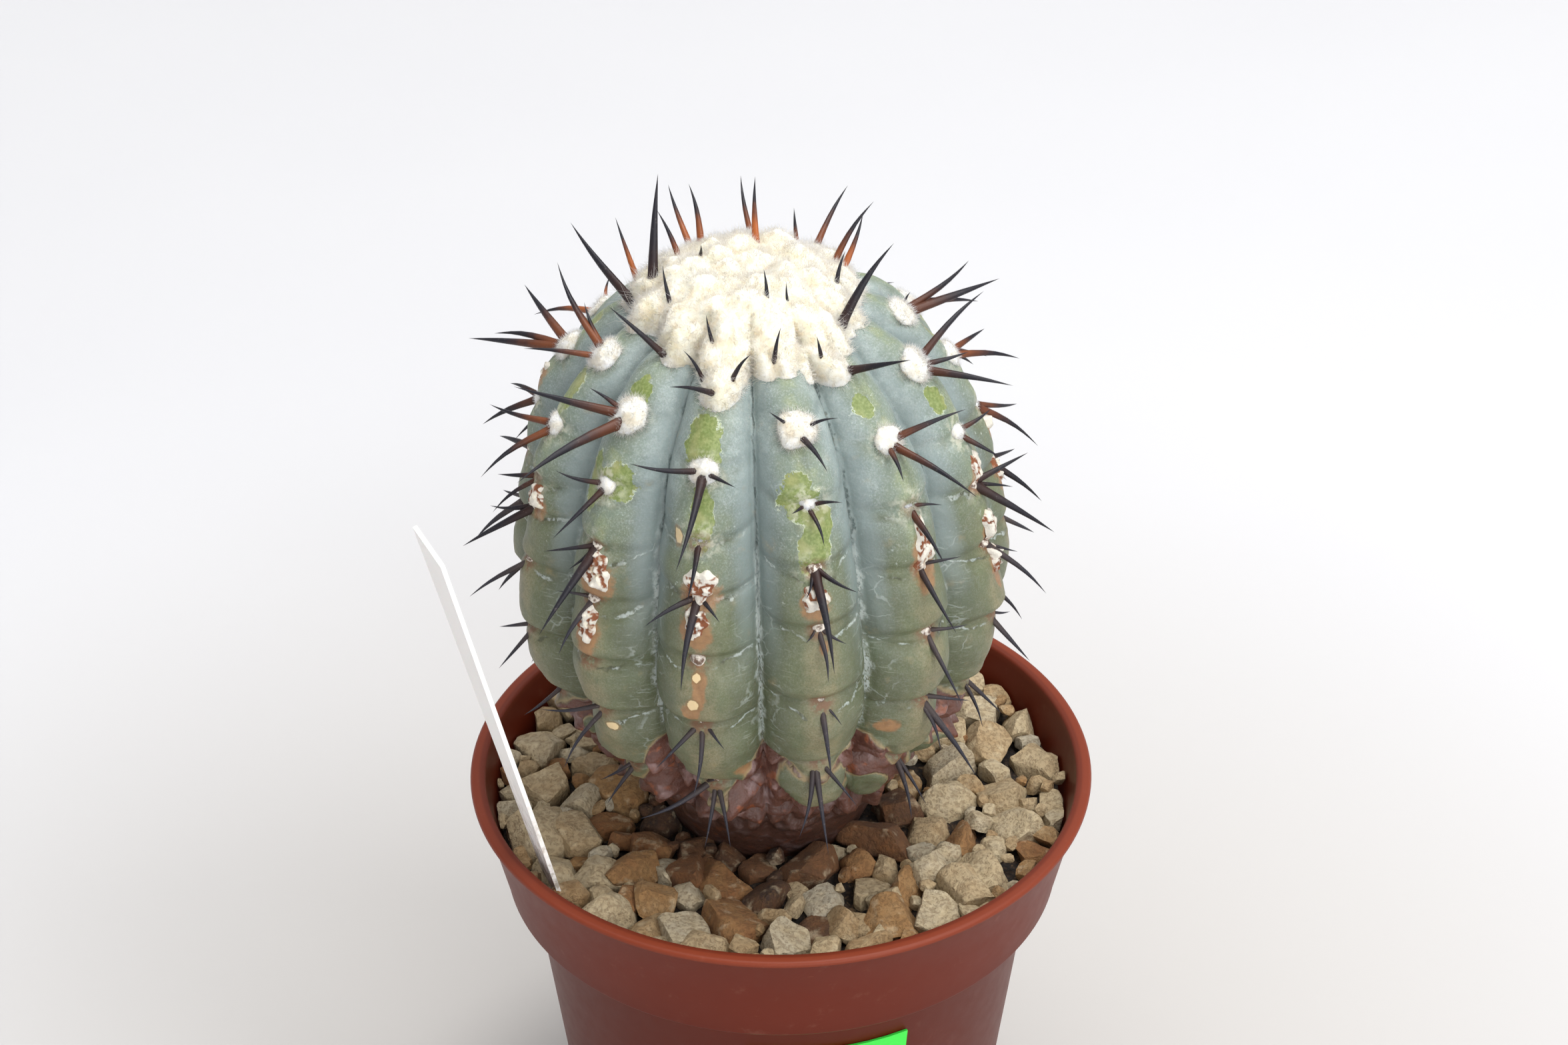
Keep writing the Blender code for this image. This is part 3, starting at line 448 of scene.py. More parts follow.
def rule_rib(rib):
    """Areoles of a rib away from the viewer, spaced like the others, with seeded spines."""
    rng = random.Random(100 + rib)
    phase = (rib * RULE_SHIFT) % 1.0
    found = []
    for level in range(len(RULE_HEIGHTS) - 1):
        height = float(np.interp(level + phase, range(len(RULE_HEIGHTS)), RULE_HEIGHTS))
        spines = []
        for i in range(rng.choice((1, 2, 2))):
            hour = RULE_HOURS[i] + rng.uniform(-0.6, 0.6)
            spines.append(f"{hour:.1f}/{RULE_LENGTHS[i] * rng.uniform(0.7, 1.15):.0f}")
        if height < RULE_TOP:
            found.append((height, " ".join(spines)))
    return found


def rib_areoles(rib):
    rib = rib % RIBS
    near = rib if rib <= RIBS // 2 else rib - RIBS
    return SEEN_RIBS[near] if near in SEEN_RIBS else rule_rib(near)


AREOLES = [rib_areoles(rib) for rib in range(RIBS)]
MARKS = [sorted(height for height, _ in found) for found in AREOLES]


def rib_place(angle):
    """The nearest rib, the place across it, and how far the skin stands out there."""
    turn = angle * RIBS / TAU + 0.5
    rib = np.floor(turn + 0.5)
    across = turn - rib
    return rib.astype(int) % RIBS, across, np.abs(np.cos(math.pi * across)) ** RIB_ROUNDNESS


def chin(rib, height):
    """How far each rib draws in at a height: most at an areole, nothing a little above it."""
    marks = np.array(MARKS[rib])
    ladder = np.concatenate(([marks[0] - 16.0], marks, [marks[-1] + 12.0]))
    k = np.clip(np.searchsorted(ladder, height, side="right") - 1, 0, len(ladder) - 2)
    share = np.clip((height - ladder[k]) / (ladder[k + 1] - ladder[k]), 0.0, 1.0)
    rise = smooth(0.0, 0.2, share)
    fall = np.maximum((share - 0.45) / 0.55, 0.0)
    return np.interp(height, *zip(*CHIN_DEPTH)) * (1.0 - rise * (1.0 - 0.6 * fall * fall))


def level_at(rib, height):
    """Counts areoles up a rib, so that whole numbers fall on them."""
    marks = np.array(MARKS[rib])
    first, last = marks[0], marks[-1]
    ladder = np.concatenate(([first - 36.0, first - 18.0], marks, [last + 11.0, last + 22.0]))
    return np.interp(height, ladder, np.arange(len(ladder)))


def skin_point(s, angle):
    """Points of the stem's plain skin, with its outward normal in the rib's plane."""
    s, angle = np.broadcast_arrays(np.asarray(s, float), np.asarray(angle, float))
    height, crest, furrow = profile_at(s)
    rib, _, swell = rib_place(angle)
    drawn = np.zeros_like(height)
    for each in range(RIBS):
        here = rib == each
        drawn[here] = chin(each, height[here])
    radius = np.maximum(furrow + (crest - furrow) * swell - drawn * swell, 0.0)
    out, rise = profile_normal(s)
    points = np.stack([axis_x(height) + radius * np.sin(angle), -radius * np.cos(angle), LIP + height], -1)
    normals = np.stack([out * np.sin(angle), -out * np.cos(angle), rise], -1)
    return points, normals


def rib_ellipse(shape, rib, across, height):
    """How deep inside an oval mark each point of the skin lies: 1 in its middle, 0 at its edge."""
    mark_rib, mark_across, mark_height, half_width, half_height = shape
    sideways = (rib - mark_rib % RIBS + across - mark_across + RIBS / 2) % RIBS - RIBS / 2
    return 1.0 - np.hypot(sideways / half_width, (height - mark_height) / half_height)


def rubbed_marks():
    """The rubbed places that the photograph shows, and seeded ones on the ribs behind."""
    rng = random.Random(5)
    marks = list(RUBBED)
    for rib in RULE_RUBBED:
        for _ in range(2):
            place = (rng.uniform(-0.15, 0.15), rng.uniform(74, 93))
            marks.append((rib, *place, rng.uniform(0.08, 0.17), rng.uniform(2, 5)))
    return marks


def crust_marks():
    rng = random.Random(6)
    marks = list(CRUSTS)
    for rib in RULE_CRUSTED:
        for height in (rng.uniform(70, 74), rng.uniform(59, 64)):
            across = rng.uniform(-0.04, 0.05)
            marks.append((rib, across, height, rng.uniform(1.5, 2.4), rng.uniform(2.0, 3.4)))
    return marks


def in_shares(marks):
    """Marks whose half widths are millimetres, with them as shares of a rib."""
    return [(rib, across, height, wide / RIB_PITCH, tall) for rib, across, height, wide, tall in marks]


def inside_marks(marks, rib, across, height):
    """How deep inside the nearest oval mark each point of the skin lies."""
    depth = np.full_like(height, NO_MARK)
    for mark in marks:
        depth = np.maximum(depth, rib_ellipse(mark, rib, across, height))
    return depth


def ridge(distance, width):
    return np.exp(-((distance / width) ** 2))


def make_stem_skin():
    """The ribbed body, with creases between its swellings, folds, a corky neck and its root."""
    foot, low, high = (distance_at_height(h) for h in (NECK_FOOT, NECK_TOP, BODY_TOP))
    bands = (np.linspace(0.0, foot, 7), np.linspace(foot, low, 58), np.linspace(low, high, 190))
    s = np.concatenate([band[1:] for band in bands] + [np.linspace(high, CROWN_AT, 14)[1:-1]])
    columns = RIBS * RIB_COLUMNS
    along, around = (a.ravel() for a in np.meshgrid(s, round_turns(columns), indexing="ij"))
    points, normals = skin_point(along, around)
    height = profile_at(along)[0]
    rib, across, swell = rib_place(around)

    # How far along its rib each point is, counted in areoles, and how far they are apart
    level = np.zeros_like(height)
    span = np.full_like(height, 11.0)
    near = np.full_like(height, 30.0)
    edge = (2.0 * np.abs(across)) ** 2
    sway = 1.9 * noise(points, 9.0, 17)
    for each in range(RIBS):
        here = rib == each
        level[here] = level_at(each, height[here] + 1.6 - 2.8 * edge[here] + sway[here])
        marks = np.array(MARKS[each])
        span[here] = np.interp(height[here], 0.5 * (marks[1:] + marks[:-1]), np.diff(marks))
        for mark in marks:
            middle, _ = skin_point(distance_at_height(mark), rib_angle(each))
            close = (np.abs(height - mark) < 9.0) & here
            near[close] = np.minimum(near[close], np.linalg.norm(points[close] - middle, axis=1))

    # Creases, furrows and gentle swells
    wander = 0.8 * noise(points, 5.0, 3)
    crease = ((level + 0.5) % 1.0 - 0.5) * span + wander
    furrow = (0.5 - np.abs(across)) * TAU * np.interp(height, ROWS[:RISING, 0], ROWS[:RISING, 2]) / RIBS
    above_ground = smooth(-2.0, 6.0, height)
    live = above_ground * (1.0 - smooth(98.0, 101.0, height))
    sharp = smooth(-0.35, 0.35, noise(points, 8.0, 16))
    groove = ridge(crease, 0.62) * smooth(0.0, 0.06, 1.0 - swell) * sharp
    valley = ridge(crease, 2.0) * smooth(0.0, 0.2, 1.0 - swell) * (1.0 - 0.6 * smooth(45.0, 70.0, height))
    depth = -(0.5 * groove + 0.7 * valley) * smooth(10.0, 24.0, height)
    depth *= 1.0 - 0.6 * smooth(72.0, 88.0, height)
    depth -= 0.4 * ridge(furrow, 0.6) * live
    swells = 0.75 * noise(points * (1.0, 1.0, 1.5), 11.0, 1) + 0.36 * noise(points, 4.5, 2)
    depth += (swells + 0.05 * noise(points * (1, 1, 1.6), 1.7, 4, 2)) * live

    # The corky neck, with green lobes left in it
    lowest = np.array([marks[0] for marks in MARKS])[rib]
    bark_top = BARK_TOP + (lowest - 3.5 - BARK_TOP) * (0.5 + 0.5 * np.cos(TAU * across))
    bark = smooth(2.5, -1.5, height - bark_top + 2.6 * noise(points, 6.0, 9))
    lobes = smooth(0.16, 0.34, noise(points * (1.0, 1.0, 1.25), 9.0, 14)) * smooth(7.0, 14.0, height)
    lobes = lobes * smooth(0.5, 1.0, bark)
    bark = bark * (1.0 - lobes)
    lumps = np.abs(noise(points * (1.0, 1.0, 1.7), 6.5, 10, 2))
    depth += smooth(34.0, 16.0, height) * above_ground * (0.5 * noise(points, 2.7, 11, 2) + 1.2 * lobes)
    depth += bark * above_ground * (4.6 * (lumps - 0.36) + 0.7 * noise(points, 2.3, 15, 2) - 0.4)

    # Marks: rubbed places, rust round the crusts and in stains, spots of cork
    under_crusts = [(r, a, h - 0.6 * tall, wide + 0.6, tall + 0.6) for r, a, h, wide, tall in crust_marks()]
    place = (rib, across, height)
    rub = inside_marks(rubbed_marks(), *place) + 0.25 * noise(points, 2.2, 12, 2)
    stain = inside_marks(in_shares([*STAINS, *under_crusts]), *place)
    cork = inside_marks(in_shares(CORK_SPOTS), *place)
    depth -= 0.1 * smooth(-0.05, 0.05, rub)

    points = points + normals * depth[:, None]
    count = len(points)
    points = np.concatenate((points, [skin_point(CROWN_AT, 0.0)[0], skin_point(0.0, 0.0)[0]]))
    faces = [grid_faces(len(s), columns), fan_faces(count - columns, columns, count),
             fan_faces(0, columns, count + 1, True)]
    attributes = {
        "rise": height, "crest": 0.5 + 0.5 * np.cos(TAU * across), "side": np.sin(TAU * across),
        "level": level, "span": span, "rub": rub, "stain": stain, "cork": cork, "bark": bark, "near": near,
    }
    attributes = {key: np.concatenate((value, [value[-1], value[0]])) for key, value in attributes.items()}
    return add_piece("stem_skin", points, faces, ("stem",), attributes)


# Spines
def spine_block(base, direction, length, radius, lift, warm, rng):
    """A tapered horn-like spine, bowed away from the skin and a little to one side."""
    side = unit(np.cross(direction, lift) + 1e-6)
    other = np.cross(direction, side)
    bow = lift * (0.05 * length) + side * (rng.uniform(-0.045, 0.045) * length)
    turns = round_turns(SPINE_SIDES)
    circle = np.cos(turns)[:, None] * side + np.sin(turns)[:, None] * other
    oval = 1.0 + 0.12 * np.cos(2.0 * turns + rng.uniform(0.0, TAU))
    points, tips = [], []
    for step in SPINE_STEPS:
        share = max(step, 0.0)
        size = radius * (1.0 - share**1.3) * (1.0 + 0.18 * math.exp(-((share / 0.05) ** 2)))
        forward = step * length if step > 0 else step * SPINE_SUNK
        centre = base + direction * forward + bow * math.sin(math.pi * share) * 1.2
        points.append(centre + circle * oval[:, None] * size * (1.0 + rng.uniform(-0.03, 0.03)))
        tips += [share] * SPINE_SIDES
    points = np.concatenate(points + [(base + direction * length)[None]])
    last = (len(SPINE_STEPS) - 1) * SPINE_SIDES
    sides = halves(grid_faces(len(SPINE_STEPS), SPINE_SIDES))
    faces = np.concatenate((sides, fan_faces(last, SPINE_SIDES, last + SPINE_SIDES)))
    return points, faces, tips + [1.0], [warm] * len(points)


def spine_radius(length, height):
    """Half the width of a spine's foot: stouter near the crown."""
    return (0.24 + 0.034 * length) * (0.84 + 0.16 * float(smooth(45.0, 80.0, height)))


def clock_direction(hour, lean, normal, up, right):
    turn = math.radians(30.0 * hour)
    flat = up * math.cos(turn) + right * math.sin(turn)
    return unit(normal * math.cos(lean) + flat * math.sin(lean)), flat


def skin_frame(rib, height):
    angle = rib_angle(rib)
    here, normal = skin_point(distance_at_height(height), angle)
    right = np.array([math.cos(angle), math.sin(angle), 0.0])
    return here, normal, np.cross(normal, right), right


def areole_size(height):
    """Radius and thickness of the felt cushion: woolly near the crown, small and flat below."""
    share = min(max((height - 74.0) / 18.0, 0.0), 1.0)
    return 1.7 + 1.9 * share, 0.7 + 1.3 * share


def add_spines(name, blocks):
    points, faces = bundle(blocks)
    tips, warm = (np.concatenate([block[i] for block in blocks]) for i in (2, 3))
    return add_piece(name, points, [faces], (), {"tip": tips, "warm": warm})


def make_spines():
    """Every areole's spines; where the skin leans over at the neck they stand level."""
    rng = random.Random(31)
    blocks = []
    for rib in range(RIBS):
        for height, spines in AREOLES[rib]:
            here, normal, up, right = skin_frame(rib, height)
            if normal[2] < 0.0:
                up = np.array([0.0, 0.0, 1.0])
                normal = unit(normal * (1.0, 1.0, 0.0))
            spread = 0.45 * areole_size(height)[0]
            aside = 0.5 - 0.5 * math.cos(rib_angle(rib))
            warm = float(smooth(50.0, 84.0, height)) * (0.38 + 0.5 * aside + rng.uniform(-0.14, 0.12))
            for spine in spines.split():
                hour, length = (float(part) for part in spine.split("/"))
                direction, flat = clock_direction(hour, SPINE_LEAN, normal, up, right)
                width = spine_radius(length, height)
                blocks.append(spine_block(here + flat * spread, direction, length, width, normal, warm, rng))
    return add_spines("spines", blocks)


# Felt on the areoles
def cushion_block(here, normal, up, right, radius, thick, seed, rings=9, columns=26):
    """A lumpy felt cushion sunk into the skin."""
    turns = round_turns(columns)
    circle = np.cos(turns)[:, None] * up + np.sin(turns)[:, None] * right
    rows = [here + circle * radius * 0.9 - normal * 1.4]
    for k in range(rings):
        share = k / (rings - 1)
        size = radius * math.cos(0.5 * math.pi * share) if share < 1.0 else 0.02 * radius
        lift = thick * math.sin(0.5 * math.pi * share) - 0.5 * (1.0 - share) ** 2
        rows.append(here + circle * size * (1.08 - 0.08 * share) + normal * lift)
    points = np.concatenate(rows)
    rough = 0.15 * radius * noise(points, 0.55 * radius + 0.35, seed, 2)
    points = points + unit(points - (here - normal * radius * 0.4)) * rough[:, None]
    return points, grid_faces(len(rows), columns)[:, ::-1]


def make_felt():
    """Woolly cushions and their hair on the young areoles, flat grey pads on the old ones."""
    rng = np.random.default_rng(41)
    pads, hair, old = [], [], []
    for rib in range(RIBS):
        for height in MARKS[rib][::-1]:
            place = skin_frame(rib, height)
            radius, thick = areole_size(height)
            if height <= FELT_FROM:
                size = 0.8 if height < 50.0 else 1.25
                old.append(cushion_block(*place, size, 0.55 * size, 70 + rib, 6, 16))
                continue
            woolly = float(smooth(80.0, 95.0, height))
            wide = radius * (0.66 + 0.26 * woolly)
            pads.append(cushion_block(*place, wide, thick * (0.5 + 0.15 * woolly), 50 + rib))
            count = int(600 + 1300 * woolly)
            lengths = (0.5 + 0.2 * woolly, 0.9 + 0.6 * woolly)
            hair.append(hair_coat(rng, *pads[-1], count, 0.5, lengths, 0.042, 0.0, 0.3))
    pieces = []
    for name, blocks in (("areole_felt", pads), ("old_areoles", old), ("areole_hair", hair)):
        points, faces = bundle(blocks)
        pieces.append(add_piece(name, points, [faces]))
    return pieces


def make_crusts():
    """Old areoles that have turned to a peeling white crust over rusty cork."""
    rows, columns = 9, 40
    turns = round_turns(columns)
    blocks, heights = [], []
    shares = 1.06 - np.arange(rows) / (rows - 1) * 1.04
    for number, (rib, across, height, half_width, half_height) in enumerate(crust_marks()):
        ragged = 1.0 + 0.16 * np.sin(3.0 * turns + number) + 0.1 * np.sin(7.0 * turns + 2.0 * number)
        reach = shares[:, None] * ragged
        sideways = (reach * half_width * np.cos(turns)).ravel()
        s = distance_at_height(height) + (reach * half_height * np.sin(turns)).ravel()
        angle = rib_angle(rib) + across * TAU / RIBS + sideways / MARK_RADIUS
        base, normals = skin_point(s, angle)
        share = np.repeat(shares, columns)
        lumps = np.abs(noise(base + number * 9.0, 1.5, 90 + number, 3))
        lift = smooth(1.05, 0.8, share) * (0.4 + 1.0 * lumps) - 0.5 * smooth(0.95, 1.06, share)
        blocks.append((base + normals * lift[:, None], grid_faces(rows, columns)))
        heights.append(lumps)
    points, faces = bundle(blocks)
    return add_piece("areole_crusts", points, [faces], (), {"lump": np.concatenate(heights)})


# Crown wool
def wool_puffs():
    """The soft balls that make up the wool: those along its rim, then seeded ones inside them."""
    rng = random.Random(17)
    puffs = [(math.radians(turn), distance, radius) for turn, distance, radius in WOOL_RIM]
    spots = [(d * math.sin(a), d * math.cos(a), r) for a, d, r in puffs]
    for _ in range(900):
        radius = rng.uniform(3.0, 4.6)
        distance = 18.5 * math.sqrt(rng.random())
        angle = rng.uniform(0.0, TAU)
        x, y = distance * math.sin(angle), distance * math.cos(angle)
        if all(math.hypot(x - p[0], y - p[1]) > 0.66 * (radius + p[2]) for p in spots):
            spots.append((x, y, radius))
            puffs.append((angle, distance, radius))
    return np.array(puffs)


PUFFS = wool_puffs()


def wool_sheet(angle):
    """How far out from the crown's middle the even layer of wool lies."""
    return WOOL_REACH - WOOL_LEFTWARDS * np.sin(angle)


def wool_reach(angle):
    """How far out from the crown's middle the wool lies: the far side of the outermost ball."""
    reach = wool_sheet(angle)
    for turn, distance, radius in PUFFS:
        off = angle - turn
        inside = radius**2 - (distance * np.sin(off)) ** 2
        far = distance * np.cos(off) + np.sqrt(np.maximum(inside, 0.0))
        reach = np.maximum(reach, np.where((inside > 0.0) & (np.cos(off) > 0.0), far, 0.0))
    return reach


def wool_thickness(distance, angle):
    """Height of the wool over the skin: an even layer with the soft balls on it."""
    even = np.interp(distance / wool_sheet(angle), *zip(*WOOL_THICKNESS))
    x, y = distance * np.sin(angle), distance * np.cos(angle)
    bulge = np.zeros_like(even)
    for turn, middle, radius in PUFFS:
        away = np.hypot(x - middle * math.sin(turn), y - middle * math.cos(turn))
        bulge += radius**3 * np.maximum(1.0 - (away / radius) ** 2, 0.0) ** 6
    return even + WOOL_BULGE * np.cbrt(bulge)


def crown_point(distance, angle, lift):
    """Points above the crown's skin, which follow the furrows near the wool's rim."""
    s = CROWN_AT - distance
    height, crest, furrow = profile_at(s)
    out, rise = profile_normal(s)
    hug = np.interp(distance, WOOL_HUGS, (0.0, 1.0))
    radius = crest - hug * (crest - furrow) * (1.0 - rib_place(angle)[2]) + np.maximum(out, 0.0) * lift
    height = height + rise * lift
    return np.stack([axis_x(height) + radius * np.sin(angle), -radius * np.cos(angle), LIP + height], -1)


def crown_normal(distance, angle):
    return unit(crown_point(distance, angle, 1.0) - crown_point(distance, angle, 0.0))


def wool_surface(distance, angle):
    """Points on the wool, a little tufted."""
    points = crown_point(distance, angle, wool_thickness(distance, angle))
    lumps = 0.42 * noise(points, 3.4, 21) + 0.3 * noise(points, 1.6, 22) + 0.1 * noise(points, 0.8, 23)
    return points + crown_normal(distance, angle) * lumps[:, None]


def make_crown_wool():
    """A mound of soft balls of wool, and the hairs that stand out of it."""
    columns, rows = 260, 56
    turns = round_turns(columns)
    reach = wool_reach(turns)
    hem = ((0.8, -1.5), (0.98, -1.0))
    rings = [crown_point(share * reach, turns, np.full(columns, lift)) for share, lift in hem]
    rings += [wool_surface(math.sin(0.5 * math.pi * k / rows) * reach, turns) for k in range(rows, 0, -1)]
    points = np.concatenate(rings + [wool_surface(np.array([0.01]), np.array([0.0]))])
    count = len(points) - 1
    faces = [grid_faces(len(rings), columns), fan_faces(count - columns, columns, count)]
    pieces = [add_piece("crown_wool_mound", points, faces, ("crown_wool",))]
    rng = np.random.default_rng(61)
    quads = faces[0][2 * columns:]
    rim = quads[: 26 * columns]
    turn = np.degrees(np.arctan2(points[rim[:, 0], 0] - STEM_AXIS_X, -points[rim[:, 0], 1]))
    left = rim[(turn > -110.0) & (turn < -50.0)]
    for name, place, *coat in (
            ("crown_hair_1", quads, 26000, 0.7, (0.6, 1.6), 0.042),
            ("crown_hair_2", rim, 5000, 0.5, (0.8, 2.4), 0.042, 0.0, 0.5),
            ("crown_hair_3", quads, 14000, 0.7, (1.1, 2.4), 0.034, 0.6),
            ("crown_stray_hair", left, 90, 0.7, (3.0, 7.0), 0.04, 0.5)):
        spots, sides = hair_coat(rng, points, place, *coat)
        pieces.append(add_piece(name, spots, [sides]))
    return pieces


def make_crown_spines():
    rng = random.Random(33)
    blocks = []
    for degrees, distance, hour, length in CROWN_SPINES:
        angle = np.array(math.radians(degrees))
        here = crown_point(distance, angle, 0.0)
        normal = crown_normal(distance, angle)
        right = np.array([math.cos(angle), math.sin(angle), 0.0])
        base = here + normal * (0.6 * float(wool_thickness(np.array(distance), angle)))
        direction, _ = clock_direction(hour, CROWN_SPINE_LEAN, normal, np.cross(normal, right), right)
        warm = rng.uniform(0.3, 0.4) if math.cos(angle) > -0.2 else rng.uniform(0.6, 0.95)
        blocks.append(spine_block(base, direction, length, spine_radius(length, LIP), normal, warm, rng))
    return add_spines("crown_spines", blocks)


# Gravel
def inner_radius(height):
    """Inside of the pot's flared band at a height above its foot."""
    return LEDGE_RADIUS + (height - LEDGE) / (LIP - LEDGE) * (MOUTH_RADIUS - LEDGE_RADIUS)


def camera_axes():
    back = np.array([0.0, -math.cos(CAMERA_PITCH), math.sin(CAMERA_PITCH)])
    up = np.array([0.0, math.sin(CAMERA_PITCH), math.cos(CAMERA_PITCH)])
    right = np.array([1.0, 0.0, 0.0])
    c, s = math.cos(CAMERA_ROLL), math.sin(CAMERA_ROLL)
    return c * right + s * up, -s * right + c * up, back


def seen_at(column, row, height):
    """The point at a height above the lip that the photo shows at a pixel."""
    right, up, back = camera_axes()
    eye = np.array(CAMERA_TARGET) + back * CAMERA_DISTANCE
    focal = LENS / SENSOR * PHOTO_WIDTH
    way = -back + right * (column - PHOTO_WIDTH / 2) / focal - up * (row - PHOTO_HEIGHT / 2) / focal
    return eye + way * ((LIP + height - eye[2]) / way[2])


def stone_places(rng):
    """Stones that the photo shows, then seeded ones in the gaps, large before small."""
    places = []
    for column, row, size, tone in SEEN_STONES:
        spot = seen_at(column, row, SEEN_STONE_HEIGHT)
        places.append((spot[0], spot[1], 1.08 * size, tone))
    for low, high, wanted, closeness in STONE_SIZES:
        found = tries = 0
        while found < wanted and tries < STONE_TRIES:
            tries += 1
            size = rng.uniform(low, high)
            angle = rng.uniform(0.0, TAU)
            distance = math.sqrt(rng.uniform(STONES_FROM**2, (STONES_TO - 0.95 * size) ** 2))
            x, y = distance * math.cos(angle), distance * math.sin(angle)
            from_neck = math.hypot(x - axis_x(NECK_HEIGHT), y)
            from_label = math.hypot(x - LABEL_FOOT[0], y - LABEL_FOOT[1])
            if from_neck < NECK_CLEAR + 0.5 * size or from_label < LABEL_CLEAR + 0.8 * size:
                continue
            if any(math.hypot(x - p[0], y - p[1]) < closeness * (size + p[2]) for p in places):
                continue
            tone = rng.choice([rng.uniform(*ends) for ends in STONE_TONE_RANGES])
            # Painted shade: most stones this near the neck take the darkest tones
            if from_neck < NECK_SHADE_REACH and rng.random() < 0.7:
                tone = rng.uniform(0.84, 1.0)
            places.append((x, y, size, tone))
            found += 1
    return places


def stone_block(rng, x, y, size, seed):
    """An angular broken stone: a ball trimmed flat by planes on all sides, then roughened."""
    bm = bmesh.new()
    bmesh.ops.create_icosphere(bm, subdivisions=4 if size > 4.9 else 3 if size > 2.4 else 2, radius=1.0)
    points = np.array([v.co for v in bm.verts])
    faces = np.array([[v.index for v in f.verts] for f in bm.faces])
    bm.free()
    draw = np.random.default_rng(seed)
    sides = np.concatenate((np.eye(3), -np.eye(3))) + draw.normal(0.0, 0.28, (6, 3))
    corners = draw.normal(0.0, 1.0, (7, 3))
    nearness = [(0.52, 0.74)] * len(sides) + [(0.68, 0.9)] * len(corners)
    for plane, near in zip(unit(np.concatenate((sides, corners))), nearness):
        over = np.maximum(points @ plane - draw.uniform(*near), 0.0)
        points = points - over[:, None] * plane
    stretch = np.array([draw.uniform(1.15, 1.6), draw.uniform(0.95, 1.25), draw.uniform(0.85, 1.1)])
    points = points * stretch
    rough = 0.06 * noise(points + seed, 0.7, 5) + 0.045 * noise(points + seed, 0.28, 6)
    points = points + unit(points) * rough[:, None]
    spin, tilt = rng.uniform(0.0, TAU), rng.uniform(-0.55, 0.55)
    turn = np.array(Matrix.Rotation(spin, 3, "Z") @ Matrix.Rotation(tilt, 3, "X"))
    lift = LIP - STONE_DEPTH - 0.3 * size + rng.uniform(-1.3, 1.1) + (0.9 if size < 2.0 else 0.0)
    points = (points @ turn.T) * size + (x, y, lift)
    points[:, 2] = np.minimum(points[:, 2], LIP - 1.4)
    reach = np.hypot(points[:, 0], points[:, 1])
    limit = inner_radius(np.maximum(points[:, 2], 84.0)) - 0.4
    points[:, :2] *= np.minimum(limit / np.maximum(reach, 1e-6), 1.0)[:, None]
    return points, faces


def make_gravel():
    """The stones, and the uneven bed of grit under them, coloured very dark as painted shade in the gaps."""
    rng = random.Random(21)
    blocks, tones = [], []
    for number, (x, y, size, tone) in enumerate(stone_places(rng)):
        blocks.append(stone_block(rng, x, y, size, number))
        tones.append(np.full(len(blocks[-1][0]), tone))
    points, faces = bundle(blocks)
    tones = {"tone": np.concatenate(tones)}
    stones = add_piece("gravel_stones", points, [faces], ("gravel",), tones, sharp=32.0)
    columns, rows = 160, 30
    turns = round_turns(columns)
    outer = inner_radius(LIP - BED_DEPTH) - 0.5
    reach = [outer + (BED_HOLE - outer) * k / (rows - 1) for k in range(rows)]
    points = np.concatenate([flat_ring(distance, turns, LIP - BED_DEPTH) for distance in reach])
    points[:, 2] += 0.55 * noise(points, 1.3, 31, 2) + 0.4 * noise(points, 6.0, 32)
    skirts = [flat_ring(distance, turns, LIP - BED_EDGE_DEPTH) for distance in (outer, BED_HOLE)]
    points = np.concatenate((skirts[0], points, skirts[1]))
    return stones, add_piece("gravel_bed", points, [grid_faces(rows + 2, columns)])


# Pot
def wall_radius(height):
    return FOOT_RADIUS + (WALL_TOP_RADIUS - FOOT_RADIUS) * height / BAND_FOOT


def arc(centre_r, centre_z, radius, start, end, steps=5):
    """Points of a small rounding, by angle in degrees."""
    turns = np.radians(np.linspace(start, end, steps))
    return [(centre_r + radius * math.cos(a), centre_z + radius * math.sin(a)) for a in turns]


def pot_profile():
    """The pot's outline as radius and height: floor, inner wall, rolled lip, outer wall and foot."""
    return [
        (10.0, 2.0), (33.0, 2.0),
        *arc(37.2, 3.2, 1.2, -90.0, 0.0),
        (wall_radius(10.0) - 1.5, 10.0), (wall_radius(40.0) - 1.5, 40.0), (47.8, LEDGE - 1.0),
        (48.2, LEDGE - 0.2), (48.8, LEDGE), (51.6, LEDGE),
        (52.4, LEDGE + 0.4), (52.8, LEDGE + 1.6), (54.7, BAND_KNEE),
        *arc(57.7, LIP - 0.7, 0.7, 180.0, 90.0),
        *arc(59.3, LIP - 0.7, 0.7, 90.0, -20.0),
        (59.2, LIP - 1.6), (58.5, LIP - 1.9), (58.15, LIP - 2.5), (56.4, BAND_KNEE), (54.15, BAND_FOOT + 1.2),
        *arc(53.5, BAND_FOOT + 0.6, 0.6, -5.0, -90.0),
        (50.4, BAND_FOOT), (49.7, BAND_FOOT - 0.15), (49.45, BAND_FOOT - 0.8),
        (wall_radius(40.0), 40.0), (wall_radius(10.0), 10.0),
        *arc(wall_radius(1.2) - 1.2, 1.2, 1.2, 0.0, -90.0),
        (33.0, 0.0), (10.0, 0.0),
    ]


